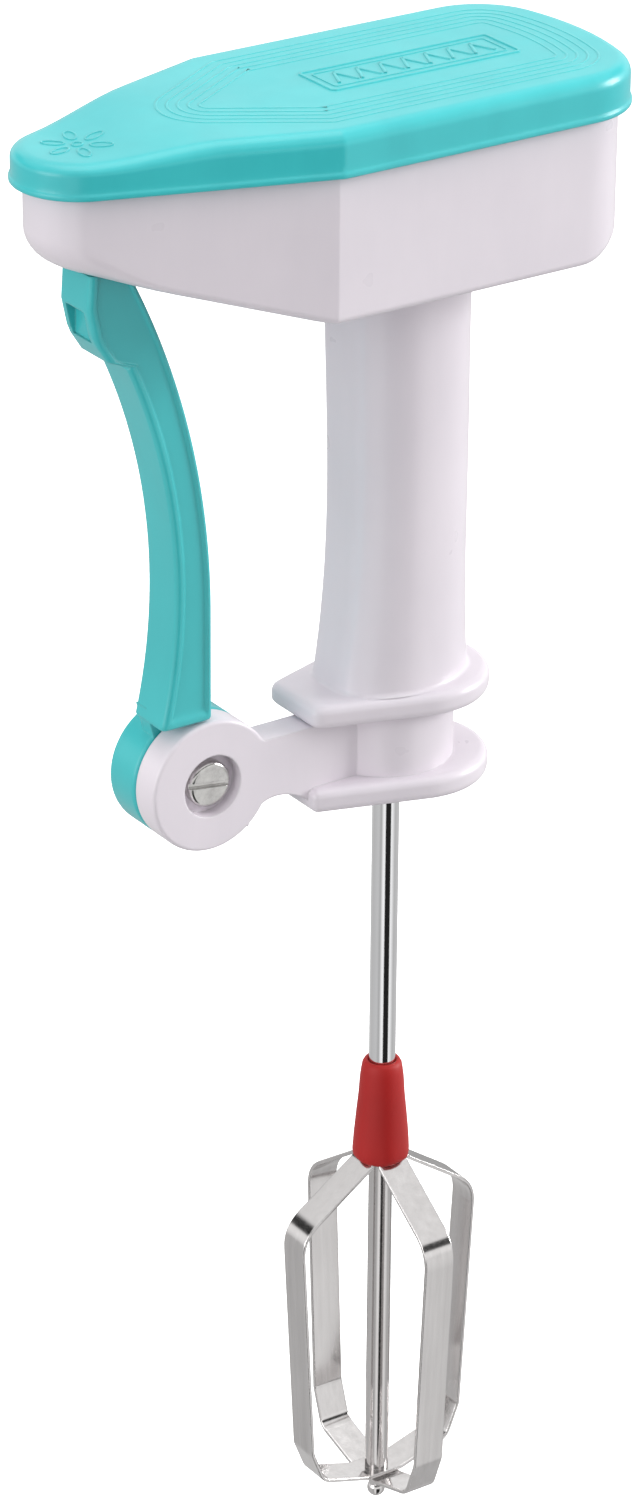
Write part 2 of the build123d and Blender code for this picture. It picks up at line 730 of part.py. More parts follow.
def make_drive_pin():
    """Steel pin through the tongue, whose ends run in the yoke's slots."""
    pin = rod_y(drive_pin_r, -yoke_half + 1.4, yoke_half - 1.6, drive_pin_x, drive_pin_z)
    return only(chamfer(pin.edges().filter_by(GeomType.CIRCLE), 0.3))


def make_pivot_screw():
    """Slotted shoulder screw that the lever turns on."""
    seat_y = arm_y0 + screw_recess
    head = rod_y(screw_head_r, seat_y - screw_head_t, seat_y, pivot_x, pivot_z)
    outer = head.faces().sort_by(Axis.Y)[0]
    head = fillet(outer.edges(), 1.0)
    shank = rod_y(pivot_pin_r, seat_y - 0.1, knuckle_y1 - 0.4, pivot_x, pivot_z)
    slot = Pos(pivot_x, seat_y - screw_head_t, pivot_z) * Rot(0, 8, 0) * Box(12, 1.8, 1.3)
    return only(head + shank - slot)


def make_pivot_nut():
    """Hexagon nut in the knuckle's far recess."""
    hexagon = Plane.XZ * Pos(pivot_x, pivot_z) * RegularPolygon(5.2, 6)
    nut = extrude_y(make_face(hexagon.edges()), knuckle_y1 - 3.3, knuckle_y1 - 0.9)
    return only(nut - rod_y(pivot_pin_r, 0, 20, pivot_x, pivot_z))


def make_pivot_washer():
    """Washer under the nut."""
    y1 = knuckle_y1 - 3.3
    washer = rod_y(5.8, y1 - 0.6, y1, pivot_x, pivot_z)
    return only(washer - rod_y(pivot_pin_r, 0, 20, pivot_x, pivot_z))


# ---------------------------------------------------------------- shaft and beater


def make_main_shaft():
    """Polished steel shaft from the bearing plate down to the ferrule."""
    shaft = rod(shaft_r, shaft_bottom_z, shaft_top_z)
    shaft = chamfer(shaft.edges().filter_by(GeomType.CIRCLE), 0.4)
    return only(shaft - ring(shaft_r + 1, shaft_r - 0.5, 47.6, 48.4))


def make_retaining_clip():
    """Split clip in the shaft's groove, under the upper bush."""
    clip = ring(5.0, shaft_r - 0.45, 47.65, 48.35)
    return only(clip - box(0, 6, -1.6, 1.6, 47, 49))


def tab_slot(turn):
    """The slot in the ferrule for the straight top of one strip, open to the spindle's hole."""
    slot = box(spindle_r - 0.7, spindle_r + strip_thick, -tab_half, tab_half,
               ferrule_bottom_z - 0.1, tab_top_z)
    return Rot(0, 0, turn) * slot


def make_ferrule():
    """Red coupling sleeve over the shaft's end and the tops of the strips."""
    length = ferrule_top_z - ferrule_bottom_z
    profile = Polyline(
        (0, ferrule_bottom_z), (ferrule_bottom_r - 0.8, ferrule_bottom_z),
        (ferrule_bottom_r, ferrule_bottom_z + 0.8), (ferrule_bottom_r - 0.25, ferrule_bottom_z + 4.0),
    )
    flank = Spline(
        profile @ 1,
        (ferrule_bottom_r - 0.9, ferrule_bottom_z + 0.5 * length),
        (ferrule_top_r + 0.25, ferrule_top_z - 3.0),
        (ferrule_top_r - 0.7, ferrule_top_z - 0.8),
        (ferrule_top_r - 1.2, ferrule_top_z),
    )
    top = Polyline(flank @ 1, (0, ferrule_top_z), (0, ferrule_bottom_z))
    face = Plane.XZ * make_face([*profile.edges(), *flank.edges(), *top.edges()])
    sleeve = revolve(face, Axis.Z, 360)
    sleeve -= rod(shaft_r, shaft_bottom_z, ferrule_top_z + 1)
    sleeve -= rod(spindle_r, ferrule_bottom_z - 1, shaft_bottom_z + 0.1)
    for angle in range(0, 360, 90):
        sleeve -= tab_slot(angle)
    return only(sleeve)


def make_beater_loop(turn, drop):
    """One bent steel strip: down one side of the cage, across the bottom and up the other."""
    tab_r = spindle_r + strip_thick / 2
    half = [(tab_r, tab_top_z), (tab_r, ferrule_bottom_z - 1.3), *cage_profile]
    half[-1] = (cage_profile[-1][0], cage_profile[-1][1] - drop)
    points = half + [(4.5, cage_bottom_z - drop), (-4.5, cage_bottom_z - drop)]
    points += [(-r, z) for r, z in reversed(half)]
    radii = [cage_bend_r] * (len(points) - 2)
    path = Plane.XZ * FilletPolyline(*points, radius=radii)
    section = Plane(path @ 0, x_dir=(1, 0, 0), z_dir=(0, 0, -1)) * Rectangle(strip_thick, strip_width)
    band = sweep(section, path=path, transition=Transition.TRANSFORMED)
    for side in (-1, 1):
        for edge in (-1, 1):
            y0, y1 = sorted((edge * tab_half, edge * strip_width))
            x0, x1 = sorted((side * (tab_r - 2), side * (tab_r + 2)))
            band -= box(x0, x1, y0, y1, ferrule_bottom_z - tab_drop, tab_top_z + 1)
    band -= rod(spindle_tip_r, cage_bottom_z - drop - 3, cage_bottom_z + 3)
    return only(Rot(0, 0, turn) * band)


def make_upper_loop():
    """Strip along X, over the other one at the bottom."""
    return make_beater_loop(0, 0)


def make_lower_loop():
    """Strip along Y, under the other one at the bottom."""
    return make_beater_loop(90, strip_thick)


def make_beater_spindle():
    """Centre rod of the cage, with a thin tip through both strips."""
    step_z = cage_bottom_z + strip_thick / 2
    body = rod(spindle_r, step_z, shaft_bottom_z)
    return only(body + rod(spindle_tip_r, cage_bottom_z - 3.2, step_z + 0.1))


def make_tip_rivet():
    """Round rivet head under the crossing of the strips."""
    top_z = cage_bottom_z - 1.5 * strip_thick
    collar = rod(2.6, top_z - 1.6, top_z)
    ball_r = 2.1
    head = collar + Pos(0, 0, rivet_tip_z + ball_r) * Sphere(ball_r)
    head += rod(1.7, rivet_tip_z + ball_r, top_z)
    return only(head - rod(spindle_tip_r, cage_bottom_z - 3.2, top_z + 1))


nodes.update(
    rack_guide=make_rack_guide,
    guide_screws=make_guide_screws,
    return_spring=make_return_spring,
    lever=make_lever,
    drive_pin=make_drive_pin,
    pivot_screw=make_pivot_screw,
    pivot_nut=make_pivot_nut,
    pivot_washer=make_pivot_washer,
    main_shaft=make_main_shaft,
    retaining_clip=make_retaining_clip,
    ferrule=make_ferrule,
    beater_loop_upper=make_upper_loop,
    beater_loop_lower=make_lower_loop,
    beater_spindle=make_beater_spindle,
    tip_rivet=make_tip_rivet,
)

if __name__ == "__main__":
    os.makedirs("parts", exist_ok=True)
    for name, make in nodes.items():
        export_step(make(), f"parts/{name}.step")
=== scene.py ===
import json
from math import acos, asin, atan2, cos, hypot, pi, radians, sin, sqrt

import bmesh
import bpy
from mathutils import Matrix, Vector


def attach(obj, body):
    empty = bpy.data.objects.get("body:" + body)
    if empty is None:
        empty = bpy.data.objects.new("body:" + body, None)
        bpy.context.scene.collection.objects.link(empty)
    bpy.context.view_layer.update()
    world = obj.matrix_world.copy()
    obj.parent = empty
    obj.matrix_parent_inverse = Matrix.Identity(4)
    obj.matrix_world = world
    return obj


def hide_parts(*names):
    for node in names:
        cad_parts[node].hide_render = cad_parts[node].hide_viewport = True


# Push-lever egg beater. Lengths below are millimetres in the part's own frame and become metres
# when a mesh is made. +Z runs up the shaft, -X is the nose with the lever, -Y is the near side.

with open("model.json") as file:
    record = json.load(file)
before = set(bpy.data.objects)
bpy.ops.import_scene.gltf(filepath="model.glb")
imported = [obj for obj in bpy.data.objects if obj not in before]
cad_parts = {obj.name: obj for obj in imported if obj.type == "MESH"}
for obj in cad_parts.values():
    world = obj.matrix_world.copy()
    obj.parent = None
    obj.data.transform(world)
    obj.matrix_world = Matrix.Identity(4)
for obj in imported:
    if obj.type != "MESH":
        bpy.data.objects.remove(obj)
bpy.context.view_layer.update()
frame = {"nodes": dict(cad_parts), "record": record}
MM = 0.001

# Head outline in plan
NOSE_X, NOSE_R = -76.8, 14.3
SHOULDER_X, HALF_WIDTH = -32.6, 29.6
REAR_X, REAR_R, REAR_CORNER_R = 49.38, 63.0, 18.0
COVER_SHOULDER_R, CASE_SHOULDER_R = 4.0, 4.6
ARC_STEPS, SHOULDER_STEPS, REAR_STEPS = 14, 6, 4
LINE_STEPS = 12
SHARP_ANGLE = 38.0

# Cover
COVER_FACE_Z = 97.2
COVER_RIM_Z = 87.5
COVER_EDGE_R = 3.2
COVER_LIP = 0.4
COVER_OVERHANG = 2.8
COVER_SHELL = 2.1
COVER_WALL = 2.5
COVER_SEAT_Z = 91.0
LIP_TOP_Z = 89.1
FACE_MARGIN = 1.0
DIP, DIP_START_X, DIP_END_X = 2.5, -54.0, -81.0

# Relief on the cover: contour lines, a framed zigzag panel and a rosette
RELIEF_BASE_Z, RELIEF_LOW_Z, RELIEF_TOP_Z = 96.9, 97.3, 97.46
CONTOUR_INSETS = (7.2, 9.4, 11.6, 13.8, 16.0)
CONTOUR_NOSE_X, CONTOUR_NOSE_R, CONTOUR_W = -46.0, 18.0, 0.8
PANEL_X0, PANEL_X1, PANEL_HALF, PANEL_GAP = -20.0, 27.0, 6.4, 1.9
ZIGZAGS, ZIGZAG_HALF, ZIGZAG_MARGIN, ZIGZAG_TRIM = 7, 2.9, 3.5, 0.4
ROSETTE_X = NOSE_X - 0.5
PETALS, PETAL_AT, PETAL_LONG, PETAL_WIDE, PETAL_TURN = 6, 5.0, 2.4, 1.15, 0.26
HUB_R, FINE_W, ROUND_STEPS = 1.1, 0.6, 16

# Case
CASE_TOP_Z = 90.5
FLOOR_Z, NOSE_FLOOR_Z = 55.2, 68.8
WALL = 2.4
SIDE_ROUND, END_ROUND = 1.7, 6.0
NOSE_ROUND_X0, NOSE_ROUND_X1 = -66.0, -84.0
REAR_ROUND_X0, REAR_ROUND_X1 = 30.0, 44.0
SLOT_X0, SLOT_X1, SLOT_HALF = -80.3, -35.3, 6.45
WELL_AT = [(-46.0, -16.5), (-46.0, 16.5), (35.0, -13.5), (35.0, 13.5)]
WELL_R, WELL_OUTER_R, WELL_SCREW_R = 2.9, 4.1, 1.6
WELL_TOP_Z, POST_TOP_Z = 71.0, 80.0

# Grip levels: z, flat front's x, centre's x, half length, half width
GRIP_LEVELS = [
    (56.5, -13.2, 1.4, 16.6, 13.6),
    (36.0, -12.8, 1.4, 16.3, 13.3),
    (0.0, -12.4, 1.8, 16.0, 12.9),
    (-24.0, -13.8, 1.2, 16.6, 13.2),
    (-43.0, -16.8, 0.5, 18.4, 14.2),
]
GRIP_CORNER = 1.3
GRIP_BLEND = 0.9
GUARD_Z, GUARD_THICK, GUARD_ROUND = -39.4, 5.4, 1.9
GUARD_FRONT_X, GUARD_FRONT_HALF = -24.9, 8.8
GUARD_CENTRE_X, GUARD_R, GUARD_CORNER = 5.5, 17.6, 2.2
GUARD_HOLE_R = 10.0
RING_POINTS = 160
GRIP_STEPS, LINING_STEPS = 34, 8
GRIP_SINK = 1.5

# Lever
PIVOT_X, PIVOT_Z = -49.3, -52.1
LEVER_HALF = 5.75
LEVER_LOW_Z, LEVER_NOTCH_Z, LEVER_TOP_Z = -36.9, 47.0, 68.5
LEVER_FRONT = (127.0, -57.8, -6.0)
LEVER_REAR = (171.0, -49.1, -12.0)
THUMB_POINTS = [(47.0, -68.7), (49.0, -73.8), (54.0, -77.0), (61.0, -78.5), (68.5, -78.0)]
RIM_W, RIM_DEPTH, RIM_ROUND = 1.7, 0.6, 1.1
REAR_RIM_W, REAR_RIM_ROUND = 0.9, 0.7
RIM_STEPS = [(0.22, 0.25), (0.5, 0.85), (0.8, 1.0)]
REAR_RIM_STEPS = [(0.7, 1.0), (0.45, 0.85), (0.2, 0.25)]
FOOT_ROUND = [(0.0, 1.0), (0.12, 0.55), (0.4, 0.2), (0.9, 0.0), (1.7, 0.0)]
PANEL_START = [(2.2, 0.5), (2.8, 1.0)]
LEVER_STEP, NOTCH_STEP = 2.0, 0.5
KNUCKLE_R, KNUCKLE_Y0, KNUCKLE_Y1, KNUCKLE_ROUND = 15.0, 1.4, 11.3, 1.0
PIN_BORE_R, NUT_RECESS_R, NUT_RECESS_DEEP = 3.05, 7.2, 4.0
ROOT = [(-61.0, LEVER_LOW_Z + 3), (-49.6, LEVER_LOW_Z + 3), (-49.6, PIVOT_Z + 6), (-58.0, PIVOT_Z + 6)]
TONGUE = [(-76.4, 64.0), (-76.2, 75.0), (-75.0, 78.2), (-69.0, 78.2), (-67.8, 75.0), (-69.0, 64.0)]
TONGUE_HALF = 2.9
POCKET = (-80.0, -76.0, -3.5, 3.5, 53.4, 60.4)

# Ferrule: radius and height, top to bottom
FERRULE = [
    (3.4, -135.5), (4.0, -135.7), (4.45, -136.5), (4.7, -138.0), (4.95, -140.0), (5.2, -144.0),
    (5.7, -149.0), (6.15, -154.0), (6.4, -157.0), (6.5, -158.6), (6.35, -159.6), (5.9, -160.1),
]
FERRULE_BORE = [(3.02, -146.5), (3.02, -135.9)]
FERRULE_UNDERSIDE = [(5.5, -159.9), (5.1, -158.6), (3.0, -157.0)]
FERRULE_SOFT_Z0, FERRULE_SOFT_Z1 = -154.0, -159.5

# Whisk strips: radius and height of the bends, and how softly each one is bent
CAGE = [(23.6, -173.6), (20.35, -231.5), (17.15, -239.6)]
CAGE_BENDS = [4.2, 4.2, 9.0, 4.2, 4.2, 4.2]
CAGE_FOOT_Z = -243.4
CAGE_FOOT_R = 4.5
STRIP_TOP_R, STRIP_WIDTH, STRIP_THICK, STRIP_EDGE_R = 3.15, 7.7, 0.9, 0.28
STRIP_TOP_Z, STRIP_LEAVE_Z, STRIP_FLARE_Z, STRIP_FLARE = -149.0, -157.4, -160.4, 1.3
STRIP_NARROW_Z, STRIP_MIN_HALF, STRIP_SPARE = -175.0, 2.3, 0.75

# Studio: the floor's half width is in millimetres, as its mesh is; the rest is in metres
FLOOR_LEVEL, FLOOR_HALF = -0.75, 12000
WORLD_STRENGTH = 0.88
KEY = ((2.0, -0.9, 0.6), 0.9, 42.0)
FILL = ((-1.7, -0.2, 0.3), 1.2, 12.0)
TOP = ((0.1, 0.2, 1.8), 1.4, 11.0)
LIGHT_AIM = (0.0, 0.0, -0.02)
CAMERA_AT = (-0.6230, -0.8839, 0.4589)
CAMERA_PITCH, CAMERA_TURN, CAMERA_ROLL = 25.62, 34.41, 0.48
CAMERA_FILM, CAMERA_LENS = 36.0, 131.6489

# Grey level of the surroundings: round the object below the horizon (radians), by height, by
# height as mirrored in a shiny surface, and the stretch behind the object with no dark band
AROUND = [(-3.14, 0.7), (-2.75, 0.5), (-2.45, 1.1), (-2.16, 1.2), (-2.1, 0.02), (-1.36, 0.02),
          (-1.28, 1.2), (-1.0, 1.0), (-0.6, 0.6), (0.2, 0.7), (0.9, 0.45), (1.5, 0.75), (2.1, 0.62),
          (3.14, 0.7)]
UPWARD = [(-1, 0.5), (-0.1, 0.9), (0.08, 1.0), (0.14, 0.12), (0.26, 0.12), (0.36, 0.9), (1, 1)]
MIRRORED = [(-1, 0.5), (-0.1, 0.9), (0.1, 1.2), (0.28, 1.2), (0.34, 0.03), (0.56, 0.03),
            (0.6, 1.1), (1, 1.1)]
OPENING = [(-3.14, 0), (0.4, 0), (0.55, 1), (1.4, 1), (1.55, 0), (3.14, 0)]
HORIZON = [(-1, 1), (-0.12, 1), (-0.04, 0), (1, 0)]
OPENING_LEVEL = 1.15


# ---------------------------------------------------------------- mesh helpers


def add_object(name, bm, smooth_angle=SHARP_ANGLE):
    """Turn a bmesh in millimetres into a shaded object in metres."""
    bmesh.ops.remove_doubles(bm, verts=bm.verts, dist=0.002)
    bmesh.ops.dissolve_degenerate(bm, edges=bm.edges, dist=0.001)
    bmesh.ops.recalc_face_normals(bm, faces=bm.faces)
    bmesh.ops.scale(bm, vec=(MM, MM, MM), verts=bm.verts)
    mesh = bpy.data.meshes.new(name)
    bm.to_mesh(mesh)
    bm.free()
    for face in mesh.polygons:
        face.use_smooth = True
    mesh.set_sharp_from_angle(angle=radians(smooth_angle))
    obj = bpy.data.objects.new(name, mesh)
    bpy.context.scene.collection.objects.link(obj)
    return obj


def weighted(obj):
    """Face-area weighted normals, so that flats stay flat beside their rounds."""
    mod = obj.modifiers.new("flats", "WEIGHTED_NORMAL")
    mod.keep_sharp = True
    mod.weight = 80
    return obj


def skin(bm, rings, closed=False, cap_start=False, cap_end=False):
    """Quads between successive rings of points; closed joins the last ring to the first."""
    rows = [[bm.verts.new(p) for p in ring] for ring in rings]
    pairs = list(zip(rows, rows[1:]))
    if closed:
        pairs.append((rows[-1], rows[0]))
    for low, high in pairs:
        n = len(low)
        for i in range(n):
            j = (i + 1) % n
            bm.faces.new((low[i], low[j], high[j], high[i]))
    if cap_start:
        bm.faces.new(rows[0])
    if cap_end:
        bm.faces.new(rows[-1])


def lathe(bm, profile, axis_at, along="Z", steps=64, closed=False):
    """Spin (radius, distance) points about an upright or a Y axis through axis_at."""
    rings = []
    for r, d in profile:
        ring = []
        for k in range(steps):
            a = 2 * pi * k / steps
            if along == "Z":
                ring.append((axis_at[0] + r * cos(a), axis_at[1] + r * sin(a), d))
            else:
                ring.append((axis_at[0] + r * cos(a), d, axis_at[1] + r * sin(a)))
        rings.append(ring)
    skin(bm, rings, closed=closed, cap_start=not closed, cap_end=not closed)


def block(bm, x0, x1, y0, y1, z0, z1):
    """An axis-aligned block."""
    corners = [[(x, y, z) for x, y in ((x0, y0), (x1, y0), (x1, y1), (x0, y1))] for z in (z0, z1)]
    skin(bm, corners, cap_start=True, cap_end=True)


def boolean(obj, bm, operation):
    """Cut obj with the solid in bm, or join the two, and keep the result in obj's mesh."""
    tool = add_object(obj.name + "_tool", bm)
    mod = obj.modifiers.new("tool", "BOOLEAN")
    mod.operation = operation
    mod.solver = "EXACT"
    mod.object = tool
    depsgraph = bpy.context.evaluated_depsgraph_get()
    result = bpy.data.meshes.new_from_object(obj.evaluated_get(depsgraph))
    obj.modifiers.remove(mod)
    obj.data = result
    bpy.data.objects.remove(tool)
    for face in result.polygons:
        face.use_smooth = True
    result.set_sharp_from_angle(angle=radians(SHARP_ANGLE))


def smoothstep(a, b, x):
    """0 before a, 1 after b, smooth between."""
    t = min(1.0, max(0.0, (x - a) / (b - a)))
    return t * t * (3 - 2 * t)


def quarter(r, steps=6):
    """(inward, upward) offsets of a convex quarter round, from the side to the face."""
    return [(r * (1 - cos(a)), r * sin(a)) for a in (pi / 2 * k / steps for k in range(steps + 1))]


def lagrange(table, z, column):
    """A smooth curve through the levels of a table."""
    total = 0.0
    for i, row in enumerate(table):
        term = row[column]
        for j, other in enumerate(table):
            if i != j:
                term *= (z - other[0]) / (row[0] - other[0])
        total += term
    return total


# ---------------------------------------------------------------- head outline


def outline_anchors(shoulder_r, nose_x=NOSE_X, nose_r=NOSE_R):
    """One (centre, corner, radius, normal angle) for each point down the far half of the head."""
    dx, dy = SHOULDER_X - nose_x, HALF_WIDTH
    lean = atan2(dy, dx) - asin(nose_r / hypot(dx, dy))
    n_ramp = lean + pi / 2
    mid = (n_ramp + pi / 2) / 2
    reach = shoulder_r / cos((n_ramp - pi / 2) / 2)
    corner = Vector((SHOULDER_X, HALF_WIDTH))
    shoulder = corner - reach * Vector((cos(mid), sin(mid)))
    rear_c = Vector((REAR_X - REAR_R, 0))
    rc_y = HALF_WIDTH - REAR_CORNER_R
    rear_corner = Vector((rear_c.x + sqrt((REAR_R - REAR_CORNER_R) ** 2 - rc_y**2), rc_y))
    turn = atan2(rear_corner.y, rear_corner.x - rear_c.x)
    nose = Vector((nose_x, 0))

    half = []
    for k in range(ARC_STEPS + 1):
        half.append((nose, None, nose_r, pi + (n_ramp - pi) * k / ARC_STEPS))
    tangent = nose + nose_r * Vector((cos(n_ramp), sin(n_ramp)))
    start = shoulder + shoulder_r * Vector((cos(n_ramp), sin(n_ramp)))
    for k in range(1, LINE_STEPS):
        at = tangent.lerp(start, k / LINE_STEPS)
        half.append((at, None, 0.0, n_ramp))
    for k in range(SHOULDER_STEPS + 1):
        a = n_ramp + (pi / 2 - n_ramp) * k / SHOULDER_STEPS
        half.append((shoulder, corner, shoulder_r, a))
    side0 = Vector((shoulder.x, HALF_WIDTH))
    side1 = Vector((rear_corner.x, HALF_WIDTH))
    for k in range(1, LINE_STEPS):
        half.append((side0.lerp(side1, k / LINE_STEPS), None, 0.0, pi / 2))
    for k in range(ARC_STEPS + 1):
        half.append((rear_corner, None, REAR_CORNER_R, pi / 2 + (turn - pi / 2) * k / ARC_STEPS))
    for k in range(1, REAR_STEPS + 1):
        half.append((rear_c, None, REAR_R, turn * (1 - k / REAR_STEPS)))
    return half


def outline(anchors, inset):
    """The closed outline at an inset; a number or a function of x."""
    far = []
    for centre, corner, r, angle in anchors:
        normal = Vector((cos(angle), sin(angle)))
        at = centre + r * normal
        i = inset(at.x) if callable(inset) else inset
        if corner is not None and i > r:
            far.append(corner + (centre - corner) * (i / r))
        else:
            far.append(centre + (r - i) * normal)
    near = [Vector((p.x, -p.y)) for p in reversed(far[1:-1])]
    return far + near


def spine_ring(ring, x0, x1):
    """The ring collapsed on to the centre line."""
    return [Vector((min(x1, max(x0, p.x)), 0)) for p in ring]


def to_spine(ring, x0, x1, steps, z_of):
    """Rings that close a face from its edge to the centre line."""
    goal = spine_ring(ring, x0, x1)
    rings = []
    for k in range(1, steps + 1):
        t = k / steps
        points = [p.lerp(q, t) for p, q in zip(ring, goal)]
        rings.append([(p.x, p.y, z_of(p.x)) for p in points])
    return rings


# ---------------------------------------------------------------- cover


def dip(x):
    """How far the cover's face drops towards the nose."""
    return DIP * smoothstep(-DIP_START_X, -DIP_END_X, -x)


def make_cover():
    """Teal cover: lip, side, round edge and face, with a hollow under it."""
    anchors = outline_anchors(COVER_SHOULDER_R)

    def height(x, z):
        share = max(0.0, (z - COVER_RIM_Z - 2) / (COVER_FACE_Z - COVER_RIM_Z - 2))
        return z - dip(x) * share

    side = COVER_LIP
    rim, seat, lip = COVER_RIM_Z, COVER_SEAT_Z, LIP_TOP_Z
    under = COVER_FACE_Z - COVER_SHELL
    lining_inset = COVER_OVERHANG + WALL
    profile = [(lining_inset, under), (lining_inset, seat + 0.2), (COVER_WALL + 0.15, seat)]
    profile += [(COVER_WALL + 0.15, rim + 0.25), (COVER_WALL, rim), (0.5, rim)]
    profile += [(0.2, rim + 0.08), (0.03, rim + 0.3), (0.0, rim + 0.6), (0.0, lip - 0.6)]
    profile += [(0.08, lip - 0.35), (0.26, lip - 0.2), (side, lip)]
    profile += [(side, lip + 1.5), (side, lip + 3.2)]
    edge_z = COVER_FACE_Z - COVER_EDGE_R
    profile += [(side + i, edge_z + up) for i, up in quarter(COVER_EDGE_R, 9)]
    profile += [(side + COVER_EDGE_R + FACE_MARGIN, COVER_FACE_Z)]
    rings = []
    for inset, z in profile:
        rings.append([(p.x, p.y, height(p.x, z)) for p in outline(anchors, inset)])
    x0, x1 = NOSE_X + 1, REAR_X - REAR_CORNER_R
    top = outline(anchors, side + COVER_EDGE_R + FACE_MARGIN)
    rings += to_spine(top, x0, x1, 8, lambda x: height(x, COVER_FACE_Z))
    inner = outline(anchors, lining_inset)
    lining = [[(p.x, p.y, height(p.x, under)) for p in inner]]
    lining += to_spine(inner, x0, x1, 4, lambda x: height(x, under))
    bm = bmesh.new()
    skin(bm, rings)
    skin(bm, lining)
    return weighted(add_object("cover", bm))


def ridge(bm, points, width, base, top, closed=True):
    """A low moulded ridge that follows points on the cover's face."""
    n = len(points)
    rings = []
    for i, p in enumerate(points):
        before = points[i - 1] if closed or i else p
        after = points[(i + 1) % n] if closed or i < n - 1 else p
        along = (after - before).normalized()
        out = Vector((along.y, -along.x))
        half = width / 2
        section = [(-half, base), (-half * 0.72, top - 0.05), (-half * 0.4, top),
                   (half * 0.4, top), (half * 0.72, top - 0.05), (half, base)]
        rings.append([(p.x + out.x * s, p.y + out.y * s, z - dip(p.x)) for s, z in section])
    if closed:
        skin(bm, rings, closed=True)
    else:
        skin(bm, rings, cap_start=True, cap_end=True)


def resample(points, spacing):
    """Points at an even spacing along a closed line."""
    result = []
    for i, p in enumerate(points):
        q = points[(i + 1) % len(points)]
        steps = max(1, round((q - p).length / spacing))
        result += [p.lerp(q, k / steps) for k in range(steps)]
    return [p for i, p in enumerate(result) if (p - result[i - 1]).length > 0.05]


def bar_between(bm, a, b, width, base, top):
    """A straight ridge between two points."""
    ridge(bm, [Vector(a), Vector(a).lerp(Vector(b), 0.5), Vector(b)], width, base, top, closed=False)


def frame_line(x0, x1, y0, y1, corner):
    """A rectangle with cut corners."""
    points = [(x0 + corner, y0), (x1 - corner, y0), (x1, y0 + corner), (x1, y1 - corner),
              (x1 - corner, y1), (x0 + corner, y1), (x0, y1 - corner), (x0, y0 + corner)]
    return [Vector(p) for p in points]


def make_cover_relief():
    """Moulded relief: contour lines round a framed zigzag panel, and a plain rosette."""
    bm = bmesh.new()
    base, low, top = RELIEF_BASE_Z, RELIEF_LOW_Z, RELIEF_TOP_Z
    anchors = outline_anchors(COVER_SHOULDER_R, nose_x=CONTOUR_NOSE_X, nose_r=CONTOUR_NOSE_R)
    for inset in CONTOUR_INSETS:
        ridge(bm, resample(outline(anchors, inset), 1.6), CONTOUR_W, base, low)
    x0, x1, half, gap = PANEL_X0, PANEL_X1, PANEL_HALF, PANEL_GAP
    outer_frame = frame_line(x0, x1, -half, half, 0.6)
    inner_frame = frame_line(x0 + gap, x1 - gap, gap - half, half - gap, 0.4)
    ridge(bm, resample(outer_frame, 2.0), 0.9, base, top)
    ridge(bm, resample(inner_frame, 2.0), 0.5, base, low + 0.06)
    pitch = (x1 - x0 - 2 * ZIGZAG_MARGIN) / ZIGZAGS
    for k in range(ZIGZAGS):
        x = x0 + ZIGZAG_MARGIN + pitch * k
        peak = (x + pitch / 2, ZIGZAG_HALF)
        bar_between(bm, (x + ZIGZAG_TRIM, -ZIGZAG_HALF), peak, 0.9, base, top)
        bar_between(bm, peak, (x + pitch - ZIGZAG_TRIM, -ZIGZAG_HALF), 0.9, base, top)
    centre = Vector((ROSETTE_X, 0))
    for k in range(PETALS):
        a = 2 * pi * k / PETALS + PETAL_TURN
        out = Vector((cos(a), sin(a)))
        across = Vector((-out.y, out.x))
        petal = []
        for i in range(ROUND_STEPS):
            t = 2 * pi * i / ROUND_STEPS
            along = PETAL_AT + PETAL_LONG * cos(t)
            petal.append(centre + out * along + across * PETAL_WIDE * sin(t))
        ridge(bm, petal, FINE_W, base, low + 0.1)
    hub = []
    for i in range(ROUND_STEPS):
        t = 2 * pi * i / ROUND_STEPS
        hub.append(centre + HUB_R * Vector((cos(t), sin(t))))
    ridge(bm, hub, FINE_W, base, low + 0.1)
    return add_object("cover_relief", bm)


# ---------------------------------------------------------------- case


def floor_z(x):
    """Height of the case's underside: level, then a ramp up to the nose."""
    slope = (NOSE_FLOOR_Z - FLOOR_Z) / (SHOULDER_X - NOSE_X)
    return FLOOR_Z + slope * max(0.0, SHOULDER_X - x)


def edge_round(x):
    """Radius of the case's lower edge: large at the nose and the rear, small along the sides."""
    nose = smoothstep(-NOSE_ROUND_X0, -NOSE_ROUND_X1, -x)
    rear = smoothstep(REAR_ROUND_X0, REAR_ROUND_X1, x)
    return SIDE_ROUND + (END_ROUND - SIDE_ROUND) * max(nose, rear)


def case_rings(anchors, base, lift, round_of, steps):
    """Rings down a wall and round its lower edge."""
    rings = []
    side = outline(anchors, base)
    for z in (CASE_TOP_Z, CASE_TOP_Z - 1.5):
        rings.append([(p.x, p.y, z) for p in side])
    for k in range(steps + 1):
        a = pi / 2 * k / steps
        ring = outline(anchors, lambda x: base + round_of(x) * (1 - cos(a)))
        zs = [floor_z(p.x) + lift + round_of(q.x) * (1 - sin(a)) for p, q in zip(ring, side)]
        rings.append([(p.x, p.y, z) for p, z in zip(ring, zs)])
    return rings, ring


